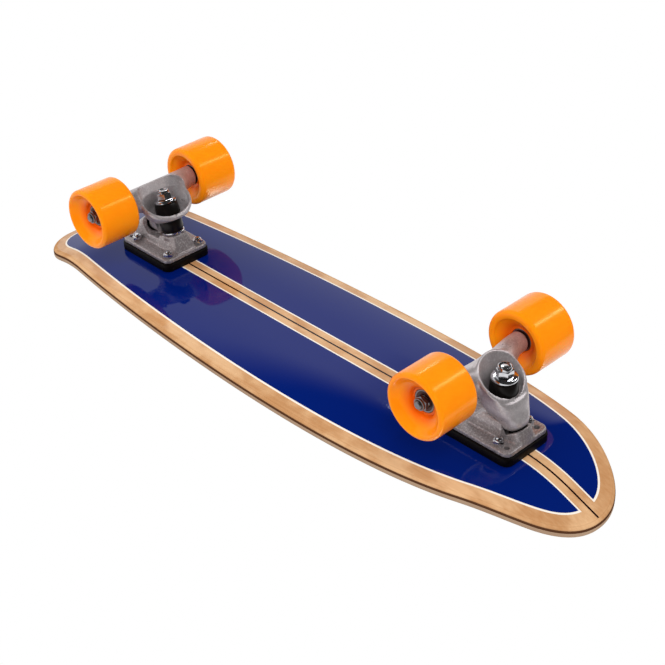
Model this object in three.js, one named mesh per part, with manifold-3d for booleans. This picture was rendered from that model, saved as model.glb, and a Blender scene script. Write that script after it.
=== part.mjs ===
// A surf skateboard: a kicked, concave deck on two cast trucks that steer as the board leans.
// Millimetres, +X towards the nose, +Y to the rider's left, +Z up, origin on the floor below the middle.
import * as THREE from "three";
import { mergeVertices } from "three/addons/utils/BufferGeometryUtils.js";
import Module from "manifold-3d";

const wasm = await Module();
wasm.setup();

// Clearance between two pieces that touch on the real board, how far a cut runs past a face, and
// how close two corners are welded.
const GAP = 0.3;
const OVERRUN = 2;
const WELD = 0.001;

// Wheels.
const WHEEL_R = 32.5;
const WHEEL_W = 47.2;
const WHEEL_LIP = 4;
const WHEEL_LIP_MID_SHARE = 0.29;
const WHEEL_MOUTH_R = 24.6;
const WHEEL_MOUTH_ROUND = 0.9;
const WHEEL_HUB_R = 14;
const WHEEL_SHOULDER_R = 9.3;
const WHEEL_CENTRE_Y = 66.5;

// Axles, bearings and their inner sleeves, outwards from the hanger's arm.
const AXLE_R = 4;
const AXLE_END_Y = 85.6;
const AXLE_CHAMFER = 0.8;
const ARM_END_Y = 51;
const SPEED_RING = 1;
const BEARING_R = 11;
const BEARING_W = 7;
const BEARING_SPACER = 10;
const RACE_INNER_R = 6;
const AXLE_NUT_AF = 12.7;
const AXLE_NUT_H = 6;

// Deck: outline, kicks, concave and rail.
const DECK_T = 10.5;
const NOSE_X = 372.2;
const NOSE_FULL_Y = 75;
const NOSE_FULL_X = 250;
const WIDE_X = 50;
const DECK_HALF_W = 101.5;
const WAIST_X = -70;
const TAPER_X = -220;
const TAPER_Y = 92;
const TAIL_CORNER_X = -325;
const TAIL_CORNER_Y = 75;
const TAIL_ROUND_X = -352;
const TAIL_ROUND_Y = 70.6;
const TAIL_X = -372.2;
const TAIL_BOW = 1.5;
const TAIL_EDGE_Y = 50;
const TAIL_FLAT_Y = 22;
const FLAT_HALF_W = 31;
const CONCAVE_RISE = 9;
const NOSE_BEND_X = 278;
const NOSE_BEND_L = 60;
const NOSE_SLOPE_SHARE = 0.42;
const TAIL_BEND_X = -272;
const TAIL_BEND_L = 40;
const TAIL_SLOPE_SHARE = 0.3;
const RAIL_R = 3.5;
const RAIL_MID_SHARE = 0.3;
const GRIP_T = 1;
const SPINE_END = 75;
const ACROSS_SHARES = [0, 0.3, 0.65];

// Truck places, the deck's height over an axle, and the six-hole mounting pattern, the same on both
// baseplates.
const AXLE_X = 234;
const TRUCK_H = 70.1;
const HOLE_CROSS = 41.28;
const HOLE_SHORT = 53.98;
const HOLE_LONG = 63.5;
const FRONT_HOLE_U = -16;
const REAR_HOLE_U = -43;
const PLATE_END = 8;
const PLATE_W = 58;
const PLATE_T = 5;
const PLATE_CORNER_R = 7;
const RISER_T = 9;
const RISER_MARGIN = 1.5;

// Mounting bolts and lock nuts.
const BOLT_R = 2.4;
const BOLT_HEAD_R = 4.7;
const BOLT_HEAD_H = 2.8;
const BOLT_TAIL = 1.6;
const LOCK_NUT_AF = 9.5;
const LOCK_NUT_H = 4.8;

// Kingpin stack, outwards from the seat on the baseplate's tower.
const KINGPIN_R = 4.75;
const KINGPIN_AF = 14.3;
const KINGPIN_HEAD_H = 5.5;
const KINGPIN_CHAMFER = 1;
const KINGPIN_NUT_H = 6;
const COLLAR_R = 6.75;
const COLLAR_H = 5.7;
const COLLAR_SINK = 0.6;
const WASHER_T = 1.6;
const WASHER_RIM = 1.6;
const WASHER_R = 12.4;
const WASHER_WALL = 1.3;
const BOARD_BUSHING_H = 14.3;
const ROAD_BUSHING_H = 13.6;
const BUSHING_R = 12.4;
const BUSHING_SHOULDER = 2;
const BUSHING_ROUND = 1.2;
const WEB_T = 5;
const WEB_HOLE_R = 7.4;
const BAY_CLEAR = 3.4;
const BOWL_CLEAR = 1.5;

// Baseplate castings: each truck's kingpin seat and pivot, as lengths along and away from the deck.
const FRONT_SEAT_U = 24.5;
const FRONT_SEAT_H = 31;
const FRONT_LEAN_ANGLE = 0;
const FRONT_PIVOT_U = 43.9;
const FRONT_PIVOT_H = 19.5;
const REAR_SEAT_U = -29;
const REAR_SEAT_H = 29.3;
const REAR_LEAN_ANGLE = THREE.MathUtils.degToRad(15.4);
const REAR_PIVOT_U = 6.2;
const REAR_PIVOT_H = 28.2;
const SEAT_R = 12;
const SEAT_RIM = 2;

// Pivot: the hanger's ball and stem, and the urethane cup round them.
const BALL_R = 5.6;
const STEM_R = 6.8;
const CUP_WALL = 1.4;
const CUP_R = 8.8;
const CUP_FLOOR_R = 5;
const CUP_SLANT = 4.2;
const CUP_DEPTH = 2.2;
const CUP_PROUD = 0.8;
const VALLEY_R = 13;
const VALLEY_RUN = 9;

// Hangers: the wall round the bushing's bay, and what their arms are drawn from.
const HANGER_WALL = 8.2;
const SWING_ANGLE = THREE.MathUtils.degToRad(20);
const SWEEP_SHARE = 0.05;
const FRONT_ARM_R = 9.8;
const REAR_ARM_R = 11;

// A baseplate's blocks have corners at the flange, [u, half width], and above it, [u, half width,
// h], as shares of the hanger's size from the kingpin's seat or from the pivot.
const FRONT_TOWER_SHARES = {
  flange: [[-1.29, 0.675], [0.49, 0.642]],
  above: [[-0.98, 0.65, -0.375], [0.5, 0.642, -0.275], [-0.5, 0.483, 0], [0.408, 0.567, 0]],
};
const FRONT_WEDGE_SHARES = {
  flange: [[-0.579, 0.633], [0.471, 0.358]],
  above: [[-0.579, 0.633, 0.196], [0.2625, 0.3, 0.196]],
};
const REAR_TOWER_SHARES = {
  flange: [[-0.858, 0.55], [0.708, 0.608]],
  above: [[-0.501, 0.367, 0], [0.492, 0.483, 0]],
};
const REAR_LEDGE_SHARES = {
  flange: [[-0.708, 0.542], [2.125, 0.625]],
  above: [[-0.366, 0.483, -0.399], [1.884, 0.583, 0.221]],
};

// Bosses and hangers are drawn as rings: [u, h, half length, half width], the tilt in degrees, and
// how square the ring is, inboard and towards the deck's end. A boss's u and h are shares of the
// hanger's size from the pivot. A hanger's u runs from the kingpin's seat to the pivot, and its h
// from the pivot to the axle.
const FRONT_BOSS_SHARES = [
  [0.013, -0.288, 0.467, 0.517, 0, 4, 3],
  [-0.004, -0.163, 0.45, 0.5, 6, 4, 3],
  [-0.05, 0.079, 0.458, 0.483, 32, 3.4, 3],
];
const REAR_BOSS_SHARES = [
  [0.2, -0.65, 0.642, 0.633, 0, 6, 5],
  [0.183, -0.183, 0.508, 0.6, 30, 6, 3.4],
  [-0.058, 0.033, 0.45, 0.579, 56, 6, 2.8],
];
const FRONT_BODY_SHARES = [
  [0.954, 0.077, 0.35, 0.367, 32, 2.2],
  [0.851, 0.132, 0.45, 0.508, 32, 2.4],
  [0.737, 0.196, 0.508, 0.567, 29, 2.5],
  [0.479, 0.298, 0.596, 0.658, 12, 2.7, 2.8],
  [0.129, 0.425, 0.808, 0.783, -2, 3, 2.8],
  [-0.015, 0.623, 0.858, 0.842, -11, 2.6, 3],
  [-0.119, 0.8, 0.9, 0.925, -22, 2.4, 2.8],
  [-0.211, 0.947, 1, 1.05, -38, 2.2, 2.5],
  [-0.18, 0.988, 1, 1.058, -39, 2.2, 2.5],
];
const FRONT_BOWL_SHARES = [
  [-0.015, 0.737, 0.65, 0.717, -12, 2],
  [-0.18, 1.004, 0.9, 0.983, -39, 2],
  [0.232, 1.2, 1.042, 1.146, -39, 2],
];
const REAR_BODY_SHARES = [
  [0.142, 0.456, 0.658, 0.858, -12, 2, 2.6],
  [0.159, 0.568, 0.758, 1.017, 0, 2, 3],
  [0.207, 0.797, 0.908, 1.2, 20, 2.1, 3.4],
  [0.244, 0.943, 1.025, 1.25, 31.7, 2.1, 2.8],
  [0.276, 0.99, 1.033, 1.254, 31.7, 2.1, 2.8],
];
const REAR_STEM_SHARES = [
  [0.92, 0.045, 0.292, 0.292, 56, 2],
  [0.761, 0.131, 0.421, 0.421, 56, 2],
  [0.571, 0.239, 0.5, 0.579, 50, 2.2],
  [0.599, 0.518, 0.542, 0.8, 20, 2.6],
  [0.653, 0.902, 0.458, 1, 0, 2.6],
];
const REAR_BOWL_SHARES = [
  [0.193, 0.597, 0.7, 0.792, 4, 2, 2.8],
  [0.193, 0.857, 0.779, 1.008, 26.6, 2, 2.6],
  [0.276, 1.014, 0.967, 1.175, 31.7, 2.1, 2.6],
  [0.111, 1.239, 1.058, 1.292, 31.7, 2.1, 2.6],
];
// An arm's row is [reach, u, h, half u, half h]: the reach as a share of the arm's end, the rest
// as shares of its radius.
const FRONT_ARM_SHARES = [
  [1, 0, 0, 0.9, 0.9],
  [0.98, 0, 0, 1, 1],
  [0.72, 0.08, -0.08, 1.08, 1.08],
  [0.36, 0.5, -0.65, 1.5, 1.6],
  [0, 0.6, -0.75, 1.6, 1.7],
];
const REAR_ARM_SHARES = [
  [1, 0, 0, 0.92, 0.92],
  [0.98, 0, 0, 1, 1],
  [0.78, -0.1, -0.05, 1.1, 1.06],
  [0.6, -0.3, -0.06, 1.3, 1.12],
  [0.36, -0.5, -0.1, 1.5, 1.24],
  [0, -0.5, -0.1, 1.5, 1.24],
];
const FRONT_ROOT_SHARE = 1.9;
const REAR_ROOT_SHARE = 3;

// Faceting.
const WHEEL_SEGMENTS = 28;
const ROUND_SEGMENTS = 16;
const SMALL_SEGMENTS = 10;
const BOLT_SEGMENTS = 8;
const LOFT_SEGMENTS = 20;
const OUTLINE_STEPS = 8;
const CORNER_STEPS = 4;
const HEX = 6;

// Heights and places that follow.
const DECK_Z = WHEEL_R + TRUCK_H;
const PLATE_L = HOLE_LONG + 2 * PLATE_END;
const PLATE_0 = RISER_T + GAP;
const PLATE_1 = PLATE_0 + PLATE_T;
const BLOCK_0 = (PLATE_0 + PLATE_1) / 2;
const BAY_R = WASHER_R + BAY_CLEAR;
const HANGER_R = BAY_R + HANGER_WALL;
const HEX_CORNER = 1 / Math.cos(Math.PI / HEX);
const BOARD_BUSHING_0 = GAP + WASHER_T + GAP;
const WEB_0 = BOARD_BUSHING_0 + BOARD_BUSHING_H + GAP;
const WEB_1 = WEB_0 + WEB_T;
const ROAD_BUSHING_0 = WEB_1 + GAP;
const ROAD_WASHER_0 = ROAD_BUSHING_0 + ROAD_BUSHING_H + GAP;
const NUT_0 = ROAD_WASHER_0 + WASHER_T + GAP;
const COLLAR_0 = NUT_0 + KINGPIN_NUT_H;
const KINGPIN_END = COLLAR_0 + COLLAR_H - COLLAR_SINK;
const CUP_FLOOR = -BALL_R - GAP - CUP_WALL;
const MOUTH = CUP_DEPTH + CUP_PROUD;
const SLEEVE_0 = ARM_END_Y + GAP;
const INNER_BEARING_0 = SLEEVE_0 + SPEED_RING;
const OUTER_BEARING_0 = INNER_BEARING_0 + BEARING_W + BEARING_SPACER;
const SLEEVE_1 = OUTER_BEARING_0 + BEARING_W + SPEED_RING;

const MATERIALS = {
  maple: new THREE.MeshStandardMaterial({ color: 0x1c2f7a, roughness: 0.18, metalness: 0 }),
  grip: new THREE.MeshStandardMaterial({ color: 0x141416, roughness: 0.95, metalness: 0 }),
  cast: new THREE.MeshStandardMaterial({ color: 0x9b9a9c, roughness: 0.45, metalness: 0.8 }),
  steel: new THREE.MeshStandardMaterial({ color: 0xc9ccd0, roughness: 0.2, metalness: 1 }),
  rubber: new THREE.MeshStandardMaterial({ color: 0x101012, roughness: 0.6, metalness: 0 }),
  bushing: new THREE.MeshStandardMaterial({ color: 0x18181b, roughness: 0.35, metalness: 0 }),
  shield: new THREE.MeshStandardMaterial({ color: 0x3a3438, roughness: 0.4, metalness: 0.5 }),
  urethane: new THREE.MeshStandardMaterial({ color: 0xff8f1a, roughness: 0.2, metalness: 0 }),
};

// Solids from three.js geometry, and back.
function toSolid(geometry) {
  const bare = new THREE.BufferGeometry();
  const flat = geometry.index ? geometry.toNonIndexed() : geometry;
  bare.setAttribute("position", flat.getAttribute("position"));
  const merged = mergeVertices(bare, WELD);
  const corners = merged.index.array;
  const triVerts = [];
  for (let i = 0; i < corners.length; i += 3) {
    const [a, b, c] = [corners[i], corners[i + 1], corners[i + 2]];
    if (a !== b && b !== c && c !== a) triVerts.push(a, b, c);
  }
  return new wasm.Manifold(
    new wasm.Mesh({
      numProp: 3,
      vertProperties: merged.attributes.position.array,
      triVerts: new Uint32Array(triVerts),
    }),
  );
}

function toGeometry(solid) {
  const mesh = solid.getMesh();
  const geometry = new THREE.BufferGeometry();
  geometry.setAttribute("position", new THREE.BufferAttribute(mesh.vertProperties, 3));
  geometry.setIndex(new THREE.BufferAttribute(mesh.triVerts, 1));
  geometry.computeVertexNormals();
  return geometry;
}

function piece(name, shape, material) {
  const solid = shape.isBufferGeometry ? toSolid(shape) : shape;
  const mesh = new THREE.Mesh(toGeometry(solid), MATERIALS[material]);
  mesh.name = name;
  return mesh;
}

function joined(...shapes) {
  const solids = shapes.map((shape) => (shape.isBufferGeometry ? toSolid(shape) : shape));
  return solids.reduce((sum, solid) => sum.add(solid));
}

function cut(shape, ...tools) {
  const solid = shape.isBufferGeometry ? toSolid(shape) : shape;
  return tools.reduce(
    (rest, tool) => rest.subtract(tool.isBufferGeometry ? toSolid(tool) : tool),
    solid,
  );
}

// A closed skin from loose triangles, wound outwards.
function skin(faces) {
  const solid = toSolid(new THREE.BufferGeometry().setFromPoints(faces));
  if (solid.volume() > 0) return solid;
  const turned = [];
  for (let i = 0; i < faces.length; i += 3) turned.push(faces[i], faces[i + 2], faces[i + 1]);
  return toSolid(new THREE.BufferGeometry().setFromPoints(turned));
}

// A point of a truck's middle plane: u towards the deck's end, h away from the deck.
function inPlane(u, h) {
  return new THREE.Vector3(u, 0, h);
}

function along(start, direction, distance) {
  return start.clone().addScaledVector(direction, distance);
}

// A direction in the middle plane that leans from u towards h.
function tilted(angle) {
  return inPlane(Math.cos(angle), Math.sin(angle));
}

// Turns geometry built about +Z so that it starts at a point and runs along a direction.
function aim(geometry, start, direction) {
  const turn = new THREE.Quaternion().setFromUnitVectors(new THREE.Vector3(0, 0, 1), direction);
  return geometry.applyQuaternion(turn).translate(start.x, start.y, start.z);
}

// A revolved solid about +Z from [radius, height] pairs, closed on itself or on the axis.
function revolve(profile, segments = ROUND_SEGMENTS) {
  const points = profile.map(([radius, height]) => new THREE.Vector2(radius, height));
  if (profile[0][0] > 0) points.push(points[0].clone());
  return new THREE.LatheGeometry(points, segments).rotateX(Math.PI / 2);
}

function rod(radius, low, high, segments = ROUND_SEGMENTS) {
  return revolve([[0, low], [radius, low], [radius, high], [0, high]], segments);
}

function hexPrism(acrossFlats, low, high) {
  return rod((acrossFlats / 2) * HEX_CORNER, low, high, HEX);
}

function nut(acrossFlats, low, high, boltR) {
  const bore = rod(boltR + GAP, low - OVERRUN, high + OVERRUN, SMALL_SEGMENTS);
  return toGeometry(cut(hexPrism(acrossFlats, low, high), bore));
}

// A rounded rectangle centred on a length along X, extruded from one height to another.
function roundedPlate(centre, length, width, radius, low, high) {
  const [x, y] = [length / 2 - radius, width / 2 - radius];
  const shape = new THREE.Shape();
  shape.absarc(centre + x, y, radius, 0, Math.PI / 2);
  shape.absarc(centre - x, y, radius, Math.PI / 2, Math.PI);
  shape.absarc(centre - x, -y, radius, Math.PI, Math.PI * 1.5);
  shape.absarc(centre + x, -y, radius, Math.PI * 1.5, Math.PI * 2);
  const options = { depth: high - low, bevelEnabled: false, curveSegments: CORNER_STEPS };
  return new THREE.ExtrudeGeometry(shape, options).translate(0, 0, low);
}

// One ring of a loft: an oval in the plane of `forward` and Y. Its power makes it squarer,
// and a second power may be given for the half that lies forward.
function ring(centre, forward, halfLength, halfWidth, power = 2, forwardPower = power) {
  const points = [];
  for (let i = 0; i < LOFT_SEGMENTS; i += 1) {
    const angle = (i / LOFT_SEGMENTS) * Math.PI * 2;
    const [c, s] = [Math.cos(angle), Math.sin(angle)];
    const reach = 2 / (c > 0 ? forwardPower : power);
    const a = Math.sign(c) * Math.abs(c) ** reach * halfLength;
    const b = Math.sign(s) * Math.abs(s) ** reach * halfWidth;
    points.push(along(centre, forward, a).add(new THREE.Vector3(0, b, 0)));
  }
  return points;
}

// A closed skin through rings of equal count, with a fan on each end.
function loft(rings) {
  const count = rings[0].length;
  const middle = (points) =>
    points.reduce((sum, p) => sum.add(p), new THREE.Vector3()).divideScalar(count);
  const [first, last] = [rings[0], rings.at(-1)];
  const faces = [];
  for (let i = 0; i < count; i += 1) {
    const j = (i + 1) % count;
    for (let k = 0; k + 1 < rings.length; k += 1) {
      const [a, b] = [rings[k][i], rings[k][j]];
      const [c, d] = [rings[k + 1][i], rings[k + 1][j]];
      faces.push(a, b, d, a, d, c);
    }
    faces.push(middle(first), first[j], first[i]);
    faces.push(middle(last), last[i], last[j]);
  }
  return skin(faces);
}

// Deck: the outline as three curves a side, and the rise of the underside at any point.
function outlineHalf() {
  const tailX = TAIL_X + TAIL_BOW;
  const path = new THREE.Path();
  path.moveTo(NOSE_X, 0);
  path.bezierCurveTo(NOSE_X, NOSE_FULL_Y, NOSE_FULL_X, DECK_HALF_W, WIDE_X, DECK_HALF_W);
  path.bezierCurveTo(WAIST_X, DECK_HALF_W, TAPER_X, TAPER_Y, TAIL_CORNER_X, TAIL_CORNER_Y);
  path.bezierCurveTo(TAIL_ROUND_X, TAIL_ROUND_Y, tailX, TAIL_EDGE_Y, tailX, TAIL_FLAT_Y);
  return [...path.getPoints(OUTLINE_STEPS), new THREE.Vector2(TAIL_X, 0)];
}

function bend(distance, length, slopeShare) {
  if (distance <= 0) return 0;
  if (distance < length) return (slopeShare * distance ** 2) / (2 * length);
  return slopeShare * (distance - length / 2);
}

function deckRise(x, y) {
  const nose = bend(x - NOSE_BEND_X, NOSE_BEND_L, NOSE_SLOPE_SHARE);
  const tail = bend(TAIL_BEND_X - x, TAIL_BEND_L, TAIL_SLOPE_SHARE);
  const side = Math.max(Math.abs(y) - FLAT_HALF_W, 0) / (DECK_HALF_W - FLAT_HALF_W);
  return nose + tail + CONCAVE_RISE * side ** 2;
}

// A plate that follows the deck's surface: each layer is [inset from the outline, height above it].
function deckShell(layers, base) {
  const half = outlineHalf();
  const mirrored = half.slice(1, -1).reverse().map((p) => new THREE.Vector2(p.x, -p.y));
  const outline = [...half, ...mirrored];
  const point = (i, [share, inset, height]) => {
    const edge = outline[i];
    const spineX = THREE.MathUtils.clamp(edge.x, TAIL_X + SPINE_END, NOSE_X - SPINE_END);
    const inner = new THREE.Vector2(spineX, 0);
    const reach = edge.distanceTo(inner);
    const at = inner.clone().lerp(edge, (share * (reach - inset)) / reach);
    return new THREE.Vector3(at.x, at.y, base + deckRise(at.x, at.y) + height);
  };
  const rows = [
    ...ACROSS_SHARES.map((share) => [share, ...layers[0]]),
    ...layers.map((layer) => [1, ...layer]),
    ...ACROSS_SHARES.map((share) => [share, ...layers.at(-1)]).reverse(),
  ];
  const faces = [];
  for (let i = 0; i < outline.length; i += 1) {
    const j = (i + 1) % outline.length;
    for (let k = 0; k + 1 < rows.length; k += 1) {
      const [a, b] = [point(i, rows[k]), point(j, rows[k])];
      const [c, d] = [point(i, rows[k + 1]), point(j, rows[k + 1])];
      // The top is split along the same diagonals as the bottom, so layers lie parallel.
      if (k < rows.length / 2) faces.push(a, b, d, a, d, c);
      else faces.push(a, b, c, b, d, c);
    }
  }
  return skin(faces);
}

// Where the bolts pass the deck, as [x, y].
function boltPlaces() {
  const places = [];
  for (const [end, holeU] of [[1, FRONT_HOLE_U], [-1, REAR_HOLE_U]]) {
    for (const offset of [0, HOLE_SHORT]) {
      for (const side of [1, -1]) {
        places.push([end * (AXLE_X + holeU + offset), (side * HOLE_CROSS) / 2]);
      }
    }
  }
  return places;
}

function buildDeck() {
  const mid = RAIL_R * RAIL_MID_SHARE;
  const shell = deckShell([
    [RAIL_R, 0],
    [mid, mid],
    [0, RAIL_R],
    [0, DECK_T - RAIL_R],
    [RAIL_R, DECK_T],
  ], DECK_Z);
  const top = DECK_Z + DECK_T;
  const holeR = BOLT_R + GAP;
  const sinkR = BOLT_HEAD_R + GAP;
  const holes = boltPlaces().map(([x, y]) =>
    revolve([
      [0, DECK_Z - OVERRUN],
      [holeR, DECK_Z - OVERRUN],
      [holeR, top - BOLT_HEAD_H - GAP],
      [sinkR, top - GAP],
      [sinkR, top + OVERRUN],
      [0, top + OVERRUN],
    ], BOLT_SEGMENTS).translate(x, y, 0),
  );
  return piece("deck", cut(shell, ...holes), "maple");
}

// Grip tape on the deck's top, punched over the bolt heads.
function buildGrip() {
  const base = DECK_Z + DECK_T + GAP;
  const shell = deckShell([[RAIL_R, 0], [RAIL_R, GRIP_T]], base);
  const holes = boltPlaces().map(([x, y]) =>
    rod(BOLT_HEAD_R + GAP, base - OVERRUN, base + GRIP_T + OVERRUN, BOLT_SEGMENTS)
      .translate(x, y, 0),
  );
  return piece("grip_tape", cut(shell, ...holes), "grip");
}

// Each truck's own layout: its kingpin line and its pivot, in the truck's middle plane.
function truckLayout(name, holeU, seat, lean, pivot) {
  const kingpin = inPlane(Math.sin(lean), Math.cos(lean));
  const webCentre = along(seat, kingpin, (WEB_0 + WEB_1) / 2);
  const steer = webCentre.clone().sub(pivot).normalize();
  return {
    name,
    holeU,
    plateCentre: holeU + HOLE_LONG / 2,
    seat,
    kingpin,
    pivot,
    steer,
    // Across the kingpin, towards the deck's end.
    acrossKingpin: inPlane(kingpin.z, -kingpin.x),
  };
}

const FRONT = truckLayout(
  "front",
  FRONT_HOLE_U,
  inPlane(FRONT_SEAT_U, FRONT_SEAT_H),
  FRONT_LEAN_ANGLE,
  inPlane(FRONT_PIVOT_U, FRONT_PIVOT_H),
);
const REAR = truckLayout(
  "rear",
  REAR_HOLE_U,
  inPlane(REAR_SEAT_U, REAR_SEAT_H),
  REAR_LEAN_ANGLE,
  inPlane(REAR_PIVOT_U, REAR_PIVOT_H),
);

function onKingpin(truck, geometry) {
  return aim(geometry, truck.seat, truck.kingpin);
}

function onSteer(truck, geometry) {
  return aim(geometry, truck.pivot, truck.steer);
}

// A point of the kingpin's line at a given height, and the distance from the seat to that height.
function kingpinReach(truck, height) {
  return (height - truck.seat.z) / truck.kingpin.z;
}

function patternHoles(truck, low, high) {
  const holes = [];
  for (const offset of [0, HOLE_SHORT, HOLE_LONG]) {
    for (const side of [1, -1]) {
      const hole = rod(BOLT_R + GAP, low, high, BOLT_SEGMENTS);
      holes.push(hole.translate(truck.holeU + offset, (side * HOLE_CROSS) / 2, 0));
    }
  }
  return holes;
}

function buildRiser(truck) {
  const [length, width] = [PLATE_L + 2 * RISER_MARGIN, PLATE_W + 2 * RISER_MARGIN];
  const radius = PLATE_CORNER_R + RISER_MARGIN;
  const pad = roundedPlate(truck.plateCentre, length, width, radius, GAP, RISER_T);
  const holes = patternHoles(truck, -OVERRUN, RISER_T + OVERRUN);
  return piece(`${truck.name}_riser_pad`, cut(pad, ...holes), "rubber");
}

// One ring of a casting's table, round its centre.
function shapedRing(centre, [halfLength, halfWidth, tilt, power, forwardPower]) {
  const forward = tilted(THREE.MathUtils.degToRad(tilt));
  return ring(centre, forward, halfLength * HANGER_R, halfWidth * HANGER_R, power, forwardPower);
}

function bossRings(truck, rows) {
  return rows.map(([u, h, ...shape]) => {
    const centre = inPlane(truck.pivot.x + u * HANGER_R, truck.pivot.z + h * HANGER_R);
    return shapedRing(centre, shape);
  });
}

function hangerRings(truck, rows) {
  const { lerp } = THREE.MathUtils;
  return rows.map(([u, h, ...shape]) => {
    const centre = inPlane(
      lerp(truck.seat.x, truck.pivot.x, u),
      lerp(truck.pivot.z, TRUCK_H, h),
    );
    return shapedRing(centre, shape);
  });
}

// The hull of a block's corners and their mirrored ones, from its origin along two directions.
function block(origin, across, away, { flange, above }) {
  const low = flange.map(([u, half]) => [inPlane(origin.x + u * HANGER_R, BLOCK_0), half]);
  const high = above.map(([u, half, h]) => {
    const at = along(along(origin, across, u * HANGER_R), away, h * HANGER_R);
    return [at, half];
  });
  const corners = [...low, ...high].flatMap(([at, half]) =>
    [-1, 1].map((side) => [at.x, side * half * HANGER_R, at.z]));
  return wasm.Manifold.hull(corners);
}

function seatBlock(truck, shares) {
  return block(truck.seat, truck.acrossKingpin, truck.kingpin, shares);
}

function pivotBlock(truck, shares) {
  return block(truck.pivot, inPlane(1, 0), inPlane(0, 1), shares);
}

// The kingpin's head sits in the baseplate's underside, clear of the riser when it leans.
function headStart(truck) {
  const cornerDrop = (KINGPIN_AF / 2) * HEX_CORNER * truck.kingpin.x;
  return kingpinReach(truck, PLATE_0 + GAP + cornerDrop);
}

// The socket for the pivot cup, along the steering axis.
function socketProfile(clearance, top) {
  return [
    [0, CUP_FLOOR - clearance],
    [CUP_FLOOR_R + clearance, CUP_FLOOR - clearance],
    [CUP_R + clearance, CUP_FLOOR + CUP_SLANT - clearance],
    [CUP_R + clearance, top],
  ];
}

// Baseplate: flange, kingpin tower and pivot boss in one casting.
function buildBaseplate(truck, ...forms) {
  const flange = roundedPlate(
    truck.plateCentre, PLATE_L, PLATE_W, PLATE_CORNER_R, PLATE_0, PLATE_1,
  );
  const seat = onKingpin(truck, rod(SEAT_R, -SEAT_RIM * 2, 0));
  // The socket opens into a valley between boss and tower, where the hanger's nose swings.
  const socket = [
    ...socketProfile(GAP, CUP_DEPTH),
    [VALLEY_R, CUP_DEPTH],
    [VALLEY_R, CUP_DEPTH + VALLEY_RUN],
    [0, CUP_DEPTH + VALLEY_RUN],
  ];
  const start = headStart(truck);
  const headR = (KINGPIN_AF / 2) * HEX_CORNER + GAP;
  const low = kingpinReach(truck, 0);
  const solid = cut(
    joined(flange, seat, ...forms),
    onSteer(truck, revolve(socket)),
    onKingpin(truck, rod(KINGPIN_R + GAP, low, OVERRUN)),
    onKingpin(truck, rod(headR, low, start + KINGPIN_HEAD_H + GAP)),
    ...patternHoles(truck, 0, TRUCK_H),
  );
  return piece(`${truck.name}_baseplate`, solid, "cast");
}

function buildKingpin(truck) {
  const start = headStart(truck);
  const shank = revolve([
    [0, start],
    [KINGPIN_R, start],
    [KINGPIN_R, KINGPIN_END - KINGPIN_CHAMFER],
    [KINGPIN_R - KINGPIN_CHAMFER, KINGPIN_END],
    [0, KINGPIN_END],
  ]);
  const head = hexPrism(KINGPIN_AF, start, start + KINGPIN_HEAD_H);
  const solid = joined(onKingpin(truck, head), onKingpin(truck, shank));
  return piece(`${truck.name}_kingpin`, solid, "steel");
}

function buildKingpinNut(truck) {
  const collar = rod(COLLAR_R, COLLAR_0 - GAP, COLLAR_0 + COLLAR_H);
  const bore = rod(KINGPIN_R + GAP, NUT_0 - OVERRUN, COLLAR_0 + COLLAR_H + OVERRUN);
  const local = cut(joined(hexPrism(KINGPIN_AF, NUT_0, COLLAR_0), collar), bore);
  return piece(`${truck.name}_kingpin_nut`, onKingpin(truck, toGeometry(local)), "steel");
}

// A cupped washer, its rim towards the bushing that it holds.
function cupWasher(truck, place, low, rimSide) {
  const bore = KINGPIN_R + GAP;
  const outer = rimSide > 0 ? low : low + WASHER_T;
  const back = outer + rimSide * WASHER_T;
  const rim = back + rimSide * WASHER_RIM;
  const profile = [
    [bore, outer],
    [WASHER_R, outer],
    [WASHER_R, rim],
    [WASHER_R - WASHER_WALL, rim],
    [WASHER_R - WASHER_WALL, back],
    [bore, back],
  ];
  if (rimSide < 0) profile.reverse();
  return piece(`${truck.name}_${place}_washer`, onKingpin(truck, revolve(profile)), "steel");
}

// A urethane bushing: narrow in its washer, full where it meets the hanger.
function bushing(truck, place, low, height, washerSide) {
  const neckR = WASHER_R - WASHER_WALL - GAP;
  const neck = WASHER_RIM + GAP;
  const profile = [
    [KINGPIN_R + GAP, 0],
    [neckR, 0],
    [neckR, neck],
    [BUSHING_R, neck + BUSHING_SHOULDER],
    [BUSHING_R, height - BUSHING_ROUND],
    [BUSHING_R - BUSHING_ROUND, height],
    [KINGPIN_R + GAP, height],
  ];
  const placed = profile.map(([r, z]) => [r, washerSide < 0 ? low + z : low + height - z]);
  if (washerSide > 0) placed.reverse();
  return piece(`${truck.name}_${place}_bushing`, onKingpin(truck, revolve(placed)), "bushing");
}

// The quarter round that ball and socket share, from the deepest point to the widest.
function ballArc(radius) {
  return [0, 1, 2, 3].map((step) => {
    const angle = (step / 3) * (Math.PI / 2);
    return [radius * Math.sin(angle), -radius * Math.cos(angle)];
  });
}

function buildPivotCup(truck) {
  const profile = [
    ...socketProfile(0, MOUTH),
    [STEM_R + GAP, MOUTH],
    ...ballArc(BALL_R + GAP).reverse(),
  ];
  return piece(`${truck.name}_pivot_cup`, onSteer(truck, revolve(profile)), "rubber");
}

// Both axle arms as one tapered housing.
function armHousing(armR, rows) {
  const mirrored = rows.slice(0, -1).reverse().map(([reach, ...rest]) => [-reach, ...rest]);
  return loft([...rows, ...mirrored].map(([reach, u, h, halfU, halfH]) => {
    const points = [];
    for (let i = 0; i < LOFT_SEGMENTS; i += 1) {
      const angle = (i / LOFT_SEGMENTS) * Math.PI * 2;
      points.push(new THREE.Vector3(
        (u + Math.cos(angle) * halfU) * armR,
        reach * ARM_END_Y,
        TRUCK_H + (h + Math.sin(angle) * halfH) * armR,
      ));
    }
    return points;
  }));
}

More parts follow.
